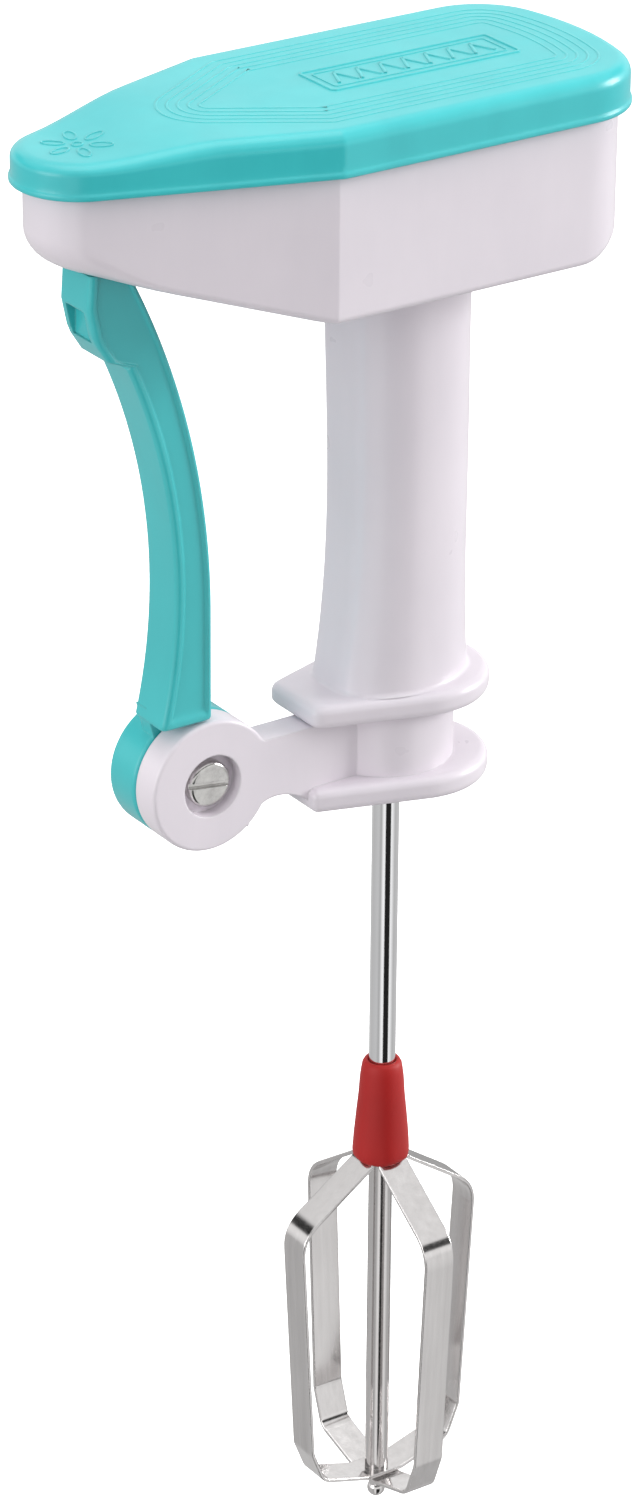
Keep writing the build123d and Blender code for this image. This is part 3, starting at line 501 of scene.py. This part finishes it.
def make_case():
    """White case: side walls, soft lower edge, ramped floor, slot and screw wells."""
    anchors = outline_anchors(CASE_SHOULDER_R)
    x0, x1 = NOSE_X + 3, REAR_X - REAR_CORNER_R
    outer, low = case_rings(anchors, COVER_OVERHANG, 0.0, edge_round, 7)
    outer += to_spine(low, x0, x1, 3, floor_z)
    inner, low = case_rings(anchors, COVER_OVERHANG + WALL, WALL,
                            lambda x: max(0.4, edge_round(x) - WALL), 4)
    inner += to_spine(low, x0, x1, 3, lambda x: floor_z(x) + WALL)
    bm = bmesh.new()
    skin(bm, list(reversed(inner)) + outer)
    case = add_object("case", bm)
    cutter = bmesh.new()
    block(cutter, SLOT_X0, SLOT_X1, -SLOT_HALF, SLOT_HALF, 40, 80)
    boolean(case, cutter, "DIFFERENCE")
    for x, y in WELL_AT:
        cutter = bmesh.new()
        lathe(cutter, [(WELL_R, 50), (WELL_R, WELL_TOP_Z - 2)], (x, y), steps=40)
        boolean(case, cutter, "DIFFERENCE")
    return weighted(case)


def make_wells():
    """The tubes inside the case that the cover's screws sit in."""
    bm = bmesh.new()
    for x, y in WELL_AT:
        low = floor_z(x - WELL_OUTER_R) + 0.3
        profile = [(WELL_R, low), (WELL_R, WELL_TOP_Z), (WELL_SCREW_R, WELL_TOP_Z),
                   (WELL_SCREW_R, POST_TOP_Z), (WELL_R, POST_TOP_Z),
                   (WELL_OUTER_R, WELL_TOP_Z + 2), (WELL_OUTER_R, low)]
        lathe(bm, profile, (x, y), steps=40, closed=True)
    return weighted(add_object("screw_wells", bm))


# ---------------------------------------------------------------- grip


def soft_min(a, b, k):
    """The smaller of two lengths, rounded where they meet."""
    h = min(1.0, max(0.0, 0.5 + 0.5 * (b - a) / k))
    return b + (a - b) * h - k * h * (1 - h)


def ray_ellipse(angle, centre_x, rx, ry):
    """Distance from the axis to an ellipse centred at centre_x."""
    c, s = cos(angle), sin(angle)
    a = (c / rx) ** 2 + (s / ry) ** 2
    b = -2 * c * centre_x / rx**2
    d = (centre_x / rx) ** 2 - 1
    return (-b + sqrt(b * b - 4 * a * d)) / (2 * a)


def ray_line(angle, x):
    """Distance from the axis to an upright plane in front of it."""
    c = cos(angle)
    return x / c if c < -0.05 else 1e3


def grip_radius(angle, z, inset=0.0):
    """Distance from the axis to the grip's surface."""
    front, cx, rx, ry = (lagrange(GRIP_LEVELS, z, c) for c in (1, 2, 3, 4))
    round_part = ray_ellipse(angle, cx, rx - inset, ry - inset)
    return soft_min(round_part, ray_line(angle, front + inset), GRIP_CORNER)


def guard_radius(angle, inset=0.0):
    """Distance from the axis to the finger guard's outline."""
    dx, dy = GUARD_CENTRE_X - GUARD_FRONT_X, GUARD_FRONT_HALF
    lean = asin(GUARD_R / hypot(dx, dy)) - atan2(dy, dx)
    rear = ray_ellipse(angle, GUARD_CENTRE_X, GUARD_R - inset, GUARD_R - inset)
    tx, ty = GUARD_CENTRE_X - GUARD_R * sin(lean), GUARD_R * cos(lean)
    c, s = cos(angle), abs(sin(angle))
    if c * rear < tx:
        nx, ny = -sin(lean), cos(lean)
        rear = (nx * tx + ny * ty - inset) / (nx * c + ny * s)
    return soft_min(rear, ray_line(angle, GUARD_FRONT_X + inset), GUARD_CORNER)


def make_grip():
    """Hourglass grip with a flat front, blended into the case and into its finger guard."""
    angles = [2 * pi * k / RING_POINTS for k in range(RING_POINTS)]

    def ring(radius, z):
        return [(radius(a) * cos(a), radius(a) * sin(a), z) for a in angles]

    def grip_ring(z, out=0.0):
        return ring(lambda a: grip_radius(a, z) + out, z)

    sunk_z = FLOOR_Z + GRIP_SINK
    rings = [ring(lambda a: grip_radius(a, FLOOR_Z) - WALL, sunk_z),
             ring(lambda a: grip_radius(a, FLOOR_Z) + GRIP_BLEND, sunk_z)]
    high, low = FLOOR_Z - GRIP_BLEND, GUARD_Z + GRIP_BLEND
    for out, up in reversed(quarter(GRIP_BLEND, 6)):
        rings.append(grip_ring(high + up, out))
    for k in range(1, GRIP_STEPS):
        rings.append(grip_ring(high + (low - high) * k / GRIP_STEPS))
    for out, up in quarter(GRIP_BLEND, 6):
        rings.append(grip_ring(low - up, out))
    rim = quarter(GUARD_ROUND, 7)
    for inset, up in reversed(rim):
        rings.append(ring(lambda a: guard_radius(a, inset), GUARD_Z - GUARD_ROUND + up))
    for inset, up in rim:
        rings.append(ring(lambda a: guard_radius(a, inset), GUARD_Z - GUARD_THICK + GUARD_ROUND - up))
    rings.append(ring(lambda a: GUARD_HOLE_R, GUARD_Z - GUARD_THICK))
    rings.append(ring(lambda a: GUARD_HOLE_R, GUARD_Z - 1))
    for k in range(LINING_STEPS + 1):
        z = GUARD_Z - 1 + (FLOOR_Z - GUARD_Z) * k / LINING_STEPS
        rings.append(ring(lambda a: grip_radius(a, z, WALL), z))
    bm = bmesh.new()
    skin(bm, rings, closed=True)
    return weighted(add_object("grip_shell", bm))


# ---------------------------------------------------------------- lever


def arc_x(curve, z):
    """X at a height on an arc given by its radius, its widest x and that x's height."""
    r, x, z0 = curve
    return x - r + sqrt(r * r - (z - z0) ** 2)


def lever_front(z):
    """The lever's front face, with the thumb block above the notch."""
    if z <= LEVER_NOTCH_Z:
        return arc_x(LEVER_FRONT, z)
    for (za, xa), (zb, xb) in zip(THUMB_POINTS, THUMB_POINTS[1:]):
        if z <= zb:
            return xa + (xb - xa) * (z - za) / (zb - za)
    return THUMB_POINTS[-1][1]


def lever_rear(z):
    """The lever's rear face."""
    return LEVER_REAR[1] if z < LEVER_REAR[2] else arc_x(LEVER_REAR, z)


def lever_section(z, depth, shrink=0.0):
    """One level of the bar: round corners, raised rims and a sunk panel on each side."""
    front, rear, half = lever_front(z) + shrink, lever_rear(z) - shrink, LEVER_HALF - shrink
    r = RIM_ROUND
    near = [(front, 0.0), (front, -(half - r) * 0.5), (front, -(half - r))]
    for k in (1, 2, 3, 4):
        a = pi / 2 * k / 4
        near.append((front + r * (1 - cos(a)), -(half - r) - r * sin(a)))
    near.append((front + RIM_W, -half))
    near += [(front + RIM_W + x, -half + depth * share) for x, share in RIM_STEPS]
    inner = rear - REAR_RIM_W
    near += [(inner - x, -half + depth * share) for x, share in REAR_RIM_STEPS]
    near.append((inner, -half))
    soft = REAR_RIM_ROUND
    for k in (1, 2, 3):
        a = pi / 2 * k / 3
        near.append((rear - soft + soft * sin(a), -half + soft * (1 - cos(a))))
    near += [(rear, -(half - r) * 0.5), (rear, 0.0)]
    far = [(x, -y) for x, y in reversed(near[1:-1])]
    return [(x, y, z) for x, y in near + far]


def make_lever():
    """Teal lever: bowed bar with rims, thumb block with a pocket, knuckle and tongue."""
    low, top = LEVER_LOW_Z, LEVER_TOP_Z
    rings = []
    for up, shrink in FOOT_ROUND:
        rings.append(lever_section(low + up, 0.0, shrink))
    for up, share in PANEL_START:
        rings.append(lever_section(low + up, RIM_DEPTH * share))
    z = low + 2 * LEVER_STEP
    while z < top:
        rings.append(lever_section(z, RIM_DEPTH))
        z += NOTCH_STEP if LEVER_NOTCH_Z - 2 < z < LEVER_NOTCH_Z + 4 else LEVER_STEP
    rings.append(lever_section(top, RIM_DEPTH))
    bm = bmesh.new()
    skin(bm, rings, cap_start=True, cap_end=True)
    lever = add_object("lever_body", bm)
    part = bmesh.new()
    lathe(part, knuckle_profile(), (PIVOT_X, PIVOT_Z), along="Y", steps=96)
    boolean(lever, part, "UNION")
    part = bmesh.new()
    skin(part, [[(x, y, z) for x, z in ROOT] for y in (KNUCKLE_Y0 + 0.05, LEVER_HALF - 0.25)],
         cap_start=True, cap_end=True)
    boolean(lever, part, "UNION")
    part = bmesh.new()
    skin(part, [[(x, y, z) for x, z in TONGUE] for y in (-TONGUE_HALF, TONGUE_HALF)],
         cap_start=True, cap_end=True)
    boolean(lever, part, "UNION")
    part = bmesh.new()
    block(part, *POCKET)
    boolean(lever, part, "DIFFERENCE")
    return weighted(lever)


def knuckle_profile():
    """(radius, y) round the knuckle, with the nut's recess on its far side."""
    r, y0, y1, e = KNUCKLE_R, KNUCKLE_Y0, KNUCKLE_Y1, KNUCKLE_ROUND
    turns = (0.4, 0.8, 1.2, pi / 2)
    near = [(PIN_BORE_R, y0), (r - e, y0)]
    near += [(r - e + e * sin(a), y0 + e * (1 - cos(a))) for a in turns]
    far = [(r, y1 - e)] + [(r - e + e * cos(a), y1 - e + e * sin(a)) for a in turns]
    recess_y = y1 - NUT_RECESS_DEEP
    recess = [(NUT_RECESS_R + 0.4, y1), (NUT_RECESS_R, y1 - 0.4), (NUT_RECESS_R, recess_y)]
    return near + far + recess + [(PIN_BORE_R, recess_y)]


# ---------------------------------------------------------------- ferrule


def make_ferrule():
    """Red rubber-like sleeve, with a soft lower edge that bulges over the four strips."""
    steps = 96
    rings = []
    for r, z in FERRULE_BORE + FERRULE:
        low = smoothstep(FERRULE_SOFT_Z0, FERRULE_SOFT_Z1, z)
        ring = []
        for k in range(steps):
            a = 2 * pi * k / steps
            lobe = cos(4 * a)
            radius = r + low * (0.12 * lobe + 0.06 * cos(7 * a + 1.0))
            drop = low * (0.1 * lobe - 0.12 * cos(3 * a + 0.7))
            ring.append((radius * cos(a), radius * sin(a), z + drop))
        rings.append(ring)
    for r, z in FERRULE_UNDERSIDE:
        turns = [2 * pi * k / steps for k in range(steps)]
        rings.append([(r * cos(a), r * sin(a), z) for a in turns])
    bm = bmesh.new()
    skin(bm, rings, cap_start=True, cap_end=True)
    return add_object("ferrule_sleeve", bm, 50)


# ---------------------------------------------------------------- whisk


def rounded_path(points, radii, steps=9):
    """(r, z) points with each inner corner rounded to its own radius."""
    path = [Vector(points[0])]
    for a, b, c, radius in zip(points, points[1:], points[2:], radii):
        a, b, c = Vector(a), Vector(b), Vector(c)
        u, v = (a - b).normalized(), (c - b).normalized()
        half = acos(max(-1.0, min(1.0, u.dot(v)))) / 2
        cut = min(radius / max(0.05, abs(sin(half) / cos(half))), (a - b).length * 0.48,
                  (c - b).length * 0.48)
        for k in range(steps + 1):
            t = k / steps
            start, end = b + u * cut, b + v * cut
            path.append((1 - t) ** 2 * start + 2 * t * (1 - t) * b + t * t * end)
    path.append(Vector(points[-1]))
    return path


def strip_ring(at, along, half_width, turn):
    """One section of a strip: a flat bar with rolled edges, across its path."""
    out = Vector((-along.y, along.x))
    t, e = STRIP_THICK / 2, STRIP_EDGE_R
    section = []
    for cx, cy in ((1, 1), (-1, 1), (-1, -1), (1, -1)):
        for k in range(4):
            a = atan2(cy, cx) - pi / 4 + pi / 2 * k / 3
            section.append((cx * (half_width - e) + e * cos(a), cy * (t - e) + e * sin(a)))
    ring = []
    for w, o in section:
        r, z = at.x + out.x * o, at.y + out.y * o
        ring.append((r * cos(turn) - w * sin(turn), r * sin(turn) + w * cos(turn), z))
    return ring


def make_strip(name, turn, drop):
    """A steel strip bent down one side of the whisk, across its foot and up the other side."""
    half = [(STRIP_TOP_R, STRIP_TOP_Z), (STRIP_TOP_R, STRIP_LEAVE_Z)]
    half.append((STRIP_TOP_R + STRIP_FLARE, STRIP_FLARE_Z))
    half += CAGE[:-1] + [(CAGE[-1][0], CAGE[-1][1] - drop)]
    foot = [(CAGE_FOOT_R, CAGE_FOOT_Z - drop), (-CAGE_FOOT_R, CAGE_FOOT_Z - drop)]
    path = rounded_path(half + foot + [(-r, z) for r, z in reversed(half)],
                        CAGE_BENDS + CAGE_BENDS[::-1])
    rings = []
    for i, p in enumerate(path):
        along = (path[min(i + 1, len(path) - 1)] - path[max(i - 1, 0)]).normalized()
        half_width = STRIP_WIDTH / 2
        if p.y > STRIP_NARROW_Z:
            half_width = min(half_width, max(STRIP_MIN_HALF, abs(p.x) - STRIP_SPARE))
        rings.append(strip_ring(p, along, half_width, turn))
    bm = bmesh.new()
    skin(bm, rings, cap_start=True, cap_end=True)
    return weighted(add_object(name, bm, 50))


# ---------------------------------------------------------------- materials


class Nodes:
    """Small helper to build a node tree."""

    def __init__(self, name):
        self.material = bpy.data.materials.new(name)
        self.material.use_nodes = True
        self.tree = self.material.node_tree
        self.tree.nodes.clear()

    def add(self, kind, **values):
        node = self.tree.nodes.new("ShaderNode" + kind)
        for key, value in values.items():
            if hasattr(node, key):
                setattr(node, key, value)
            else:
                node.inputs[key.replace("_", " ")].default_value = value
        return node

    def link(self, out, into):
        self.tree.links.new(out, into)

    def noise(self, vector, scale, detail=3.0, roughness=0.55, distortion=0.0):
        node = self.add("TexNoise")
        node.inputs["Scale"].default_value = scale
        node.inputs["Detail"].default_value = detail
        node.inputs["Roughness"].default_value = roughness
        node.inputs["Distortion"].default_value = distortion
        self.link(vector, node.inputs["Vector"])
        return node.outputs["Fac"]

    def remap(self, value, low, high, to_low, to_high):
        node = self.add("MapRange")
        for socket, number in zip(("From Min", "From Max", "To Min", "To Max"),
                                  (low, high, to_low, to_high)):
            node.inputs[socket].default_value = number
        self.link(value, node.inputs["Value"])
        return node.outputs["Result"]

    def mix(self, factor, a, b):
        node = self.add("Mix", data_type="RGBA")
        self.link(factor, node.inputs[0])
        for socket, colour in ((node.inputs[6], a), (node.inputs[7], b)):
            if isinstance(colour, tuple):
                socket.default_value = (*colour, 1)
            else:
                self.link(colour, socket)
        return node.outputs[2]

    def math(self, operation, a, b):
        node = self.add("Math", operation=operation)
        for socket, value in ((node.inputs[0], a), (node.inputs[1], b)):
            if isinstance(value, (int, float)):
                socket.default_value = value
            else:
                self.link(value, socket)
        return node.outputs[0]

    def stretched(self, scale):
        """Object coordinates scaled along each axis; a small scale draws the pattern out."""
        coords = self.add("TexCoord")
        mapping = self.add("Mapping")
        mapping.inputs["Scale"].default_value = scale
        self.link(coords.outputs["Object"], mapping.inputs["Vector"])
        return mapping.outputs["Vector"]

    def bump(self, height, strength, distance, normal):
        node = self.add("Bump")
        node.inputs["Strength"].default_value = strength
        node.inputs["Distance"].default_value = distance
        self.link(height, node.inputs["Height"])
        self.link(normal, node.inputs["Normal"])
        return node.outputs["Normal"]

    def finish(self, shader):
        out = self.add("OutputMaterial")
        self.link(shader.outputs[0], out.inputs["Surface"])
        return self.material


def edge_mask(nodes, radius):
    """1 on a rounded-off edge and 0 on a flat, and the softened normal."""
    bevel = nodes.add("Bevel", samples=4)
    bevel.inputs["Radius"].default_value = radius
    geometry = nodes.add("NewGeometry")
    dot = nodes.add("VectorMath", operation="DOT_PRODUCT")
    nodes.link(bevel.outputs["Normal"], dot.inputs[0])
    nodes.link(geometry.outputs["Normal"], dot.inputs[1])
    return nodes.remap(dot.outputs["Value"], 0.995, 0.86, 0.0, 1.0), bevel.outputs["Normal"]


def plastic(name, colour, shade, edge, rough=0.3, coat=0.25, grain=0.02, soft=0.0006):
    """Moulded plastic: faint flow marks, sink mottling, fine grain, polished edges, and a painted
    highlight that lightens the rounded edges.
    """
    nodes = Nodes(name)
    even = nodes.stretched((1, 1, 1))
    flow = nodes.noise(nodes.stretched((1, 1, 0.18)), 95.0, 4.0, 0.6, 0.4)
    cloud = nodes.noise(even, 32.0, 3.0)
    grainy = nodes.noise(even, 1900.0, 2.0)
    orange = nodes.noise(even, 420.0, 2.0)
    mask, normal = edge_mask(nodes, soft)
    marks = nodes.math("ADD", cloud, nodes.math("MULTIPLY", flow, 0.6))
    tone = nodes.remap(marks, 0.55, 1.05, 0, 1)
    base = nodes.mix(tone, shade, colour)
    # Painted highlight: rounded edges are mixed towards the lighter edge colour.
    painted_edge_highlight = nodes.mix(nodes.math("MULTIPLY", mask, 0.55), base, edge)
    shader = nodes.add("BsdfPrincipled")
    shader.inputs["IOR"].default_value = 1.47
    shader.inputs["Coat Weight"].default_value = coat
    shader.inputs["Coat Roughness"].default_value = 0.18
    nodes.link(painted_edge_highlight, shader.inputs["Base Color"])
    scuff = nodes.noise(even, 70.0, 3.0, 0.5)
    roughness = nodes.math("ADD", nodes.remap(scuff, 0.3, 0.7, rough - 0.03, rough + 0.05),
                           nodes.math("MULTIPLY", mask, -0.06))
    nodes.link(roughness, shader.inputs["Roughness"])
    wave = nodes.bump(orange, 0.03, 0.0002, normal)
    nodes.link(nodes.bump(grainy, grain, 0.0002, wave), shader.inputs["Normal"])
    return nodes.finish(shader)


def metal(name, colour, shade, rough, stretch, scale=420.0, spread=0.1, depth=0.06, soft=0.00025):
    """Metal with drawn or brushed streaks along one direction, dull spots, and a painted highlight on
    rounded edges.
    """
    nodes = Nodes(name)
    streaks = nodes.noise(nodes.stretched(stretch), scale, 5.0, 0.65)
    spots = nodes.noise(nodes.stretched((1, 1, 1)), 45.0, 2.0)
    mask, normal = edge_mask(nodes, soft)
    marks = nodes.math("ADD", streaks, nodes.math("MULTIPLY", spots, 0.4))
    tone = nodes.remap(marks, 0.45, 0.95, 0, 1)
    shader = nodes.add("BsdfPrincipled")
    shader.inputs["Metallic"].default_value = 1.0
    base = nodes.mix(tone, shade, colour)
    # Painted highlight: rounded edges are mixed towards near white.
    nodes.link(nodes.mix(nodes.math("MULTIPLY", mask, 0.4), base, (0.92, 0.92, 0.92)),
               shader.inputs["Base Color"])
    nodes.link(nodes.remap(streaks, 0.25, 0.75, max(0.02, rough - spread / 2), rough + spread / 2),
               shader.inputs["Roughness"])
    nodes.link(nodes.bump(streaks, depth, 0.0001, normal), shader.inputs["Normal"])
    return nodes.finish(shader)


def make_materials():
    """Every finish by the record's slot name."""
    along_z = (1, 1, 0.03)
    # The third colour of each plastic is the painted highlight on its rounded edges.
    return {
        "case_white": plastic("white_plastic", (0.79, 0.735, 0.79), (0.74, 0.69, 0.745),
                              (0.88, 0.85, 0.88), rough=0.3),
        "cover_teal": plastic("cover_plastic", (0.05, 0.56, 0.585), (0.042, 0.50, 0.53),
                              (0.16, 0.72, 0.73), rough=0.34),
        "lever_teal": plastic("lever_plastic", (0.05, 0.52, 0.54), (0.044, 0.47, 0.49),
                              (0.14, 0.63, 0.63), rough=0.36),
        "ferrule_red": plastic("red_plastic", (0.44, 0.004, 0.003), (0.34, 0.003, 0.002),
                               (0.56, 0.02, 0.015), rough=0.55, coat=0.0),
        "shaft_chrome": metal("chrome", (0.86, 0.86, 0.87), (0.8, 0.8, 0.81), 0.07, along_z,
                              spread=0.05, depth=0.02),
        "strip_steel": metal("strip_steel", (0.74, 0.72, 0.715), (0.62, 0.6, 0.595), 0.15, along_z,
                             spread=0.08, depth=0.04),
        "fixing_steel": metal("fixing_steel", (0.74, 0.73, 0.71), (0.5, 0.49, 0.48), 0.17, (1, 0.2, 1)),
        "bush_brass": metal("bush_brass", (0.72, 0.53, 0.24), (0.55, 0.38, 0.16), 0.32, (1, 1, 0.2)),
        "gear_nylon": plastic("gear_nylon", (0.80, 0.78, 0.70), (0.72, 0.70, 0.62),
                              (0.86, 0.84, 0.78), rough=0.45, coat=0.0),
        "plate_white": plastic("plate_white", (0.70, 0.70, 0.70), (0.62, 0.62, 0.62),
                               (0.8, 0.8, 0.8), rough=0.45, coat=0.0),
        "spring_steel": metal("spring_steel", (0.42, 0.42, 0.43), (0.28, 0.28, 0.29), 0.3, (0.1, 1, 1)),
    }


def paint(obj, material):
    """Give an object one material."""
    obj.data.materials.clear()
    obj.data.materials.append(material)


def dress_nodes(materials):
    """Give every CAD node the finish of its slot."""
    for row in frame["record"]["subparts"]:
        paint(frame["nodes"][row["node"]], materials[row["material_slot"]])


def place(obj, body, slot, materials, *replaced):
    """Ride a new piece on its body, with its finish and the CAD nodes it stands for."""
    paint(obj, materials[slot])
    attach(obj, body)
    if replaced:
        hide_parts(*replaced)


# ---------------------------------------------------------------- studio


def make_floor():
    """Plain pale floor."""
    nodes = Nodes("floor_paint")
    shader = nodes.add("BsdfPrincipled")
    fleck = nodes.noise(nodes.stretched((1, 1, 1)), 3.0)
    nodes.link(nodes.mix(fleck, (0.93, 0.93, 0.93), (0.95, 0.95, 0.95)), shader.inputs["Base Color"])
    shader.inputs["Roughness"].default_value = 0.9
    shader.inputs["Emission Color"].default_value = (1, 1, 1, 1)
    shader.inputs["Emission Strength"].default_value = 0.7
    bm = bmesh.new()
    bmesh.ops.create_grid(bm, x_segments=2, y_segments=2, size=FLOOR_HALF)
    floor = add_object("floor", bm)
    floor.location = (0, 0, FLOOR_LEVEL)
    paint(floor, nodes.finish(shader))
    floor.visible_glossy = False
    floor.visible_diffuse = False


def ramp_node(tree, value, low, high, stops):
    """A grey ramp over a value, from (value, level) stops."""
    share = tree.nodes.new("ShaderNodeMapRange")
    share.inputs["From Min"].default_value = low
    share.inputs["From Max"].default_value = high
    tree.links.new(value, share.inputs["Value"])
    ramp = tree.nodes.new("ShaderNodeValToRGB")
    elements = ramp.color_ramp.elements
    while len(elements) < len(stops):
        elements.new(0.5)
    for element, (at, level) in zip(elements, stops):
        element.position = (at - low) / (high - low)
        element.color = (level, level, level, 1)
    tree.links.new(share.outputs[0], ramp.inputs["Fac"])
    return ramp.outputs["Color"]


def make_world():
    """Soft white surroundings with dark flags, and plain white behind the object."""
    world = bpy.data.worlds.new("studio")
    bpy.context.scene.world = world
    world.use_nodes = True
    tree = world.node_tree
    tree.nodes.clear()
    coords = tree.nodes.new("ShaderNodeTexCoord")
    split = tree.nodes.new("ShaderNodeSeparateXYZ")
    tree.links.new(coords.outputs["Generated"], split.inputs[0])
    turn = tree.nodes.new("ShaderNodeMath")
    turn.operation = "ARCTAN2"
    tree.links.new(split.outputs["Y"], turn.inputs[0])
    tree.links.new(split.outputs["X"], turn.inputs[1])
    around = ramp_node(tree, turn.outputs[0], -pi, pi, AROUND)
    upward = ramp_node(tree, split.outputs["Z"], -1, 1, UPWARD)
    low = ramp_node(tree, split.outputs["Z"], -1, 1, HORIZON)
    mix = tree.nodes.new("ShaderNodeMix")
    mix.data_type = "RGBA"
    tree.links.new(low, mix.inputs[0])
    path = tree.nodes.new("ShaderNodeLightPath")
    heights = tree.nodes.new("ShaderNodeMix")
    heights.data_type = "RGBA"
    tree.links.new(path.outputs["Is Diffuse Ray"], heights.inputs[0])
    overhead = tree.nodes.new("ShaderNodeMix")
    overhead.data_type = "RGBA"
    overhead.inputs[7].default_value = (OPENING_LEVEL, OPENING_LEVEL, OPENING_LEVEL, 1)
    tree.links.new(ramp_node(tree, turn.outputs[0], -pi, pi, OPENING), overhead.inputs[0])
    tree.links.new(ramp_node(tree, split.outputs["Z"], -1, 1, MIRRORED), overhead.inputs[6])
    tree.links.new(overhead.outputs[2], heights.inputs[6])
    tree.links.new(upward, heights.inputs[7])
    tree.links.new(heights.outputs[2], mix.inputs[6])
    tree.links.new(around, mix.inputs[7])
    background = tree.nodes.new("ShaderNodeBackground")
    background.inputs["Strength"].default_value = WORLD_STRENGTH
    tree.links.new(mix.outputs[2], background.inputs["Color"])
    plain = tree.nodes.new("ShaderNodeBackground")
    plain.inputs["Color"].default_value = (1, 1, 1, 1)
    choose = tree.nodes.new("ShaderNodeMixShader")
    tree.links.new(path.outputs["Is Camera Ray"], choose.inputs[0])
    tree.links.new(background.outputs[0], choose.inputs[1])
    tree.links.new(plain.outputs[0], choose.inputs[2])
    out = tree.nodes.new("ShaderNodeOutputWorld")
    tree.links.new(choose.outputs[0], out.inputs["Surface"])


def make_light(name, at, size, energy):
    """A square soft box aimed at the object."""
    data = bpy.data.lights.new(name, "AREA")
    data.shape = "SQUARE"
    data.size = size
    data.energy = energy
    obj = bpy.data.objects.new(name, data)
    obj.location = at
    obj.rotation_euler = (Vector(LIGHT_AIM) - Vector(at)).to_track_quat("-Z", "Y").to_euler()
    bpy.context.scene.collection.objects.link(obj)


def make_camera():
    """Camera at the photograph's height, turn and distance."""
    pitch, turn, roll = radians(CAMERA_PITCH), radians(CAMERA_TURN), radians(CAMERA_ROLL)
    forward = Vector((sin(turn) * cos(pitch), cos(turn) * cos(pitch), -sin(pitch)))
    right = Vector((cos(turn), -sin(turn), 0))
    up = right.cross(forward)
    side = right * cos(roll) + up * sin(roll)
    top = -right * sin(roll) + up * cos(roll)
    data = bpy.data.cameras.new("camera")
    data.sensor_fit = "VERTICAL"
    data.sensor_height = CAMERA_FILM
    data.lens = CAMERA_LENS
    data.clip_end = 60
    obj = bpy.data.objects.new("camera", data)
    basis = Matrix((side, top, -forward)).transposed().to_4x4()
    obj.matrix_world = Matrix.Translation(CAMERA_AT) @ basis
    bpy.context.scene.collection.objects.link(obj)
    bpy.context.scene.camera = obj


def build():
    """Everything in the scene."""
    materials = make_materials()
    dress_nodes(materials)
    place(make_cover(), "body", "cover_teal", materials, "top_cover")
    place(make_cover_relief(), "body", "cover_teal", materials)
    place(make_case(), "body", "case_white", materials, "gear_case")
    place(make_wells(), "body", "case_white", materials)
    place(make_grip(), "body", "case_white", materials, "grip")
    place(make_lever(), "lever", "lever_teal", materials, "lever")
    place(make_ferrule(), "beater", "ferrule_red", materials, "ferrule")
    upper = make_strip("strip_upper", 0.0, 0.0)
    lower = make_strip("strip_lower", pi / 2, STRIP_THICK)
    place(upper, "beater", "strip_steel", materials, "beater_loop_upper")
    place(lower, "beater", "strip_steel", materials, "beater_loop_lower")
    make_floor()
    make_world()
    make_light("key", *KEY)
    make_light("fill", *FILL)
    make_light("top", *TOP)
    make_camera()
    bpy.context.scene.view_settings.view_transform = "Standard"


build()
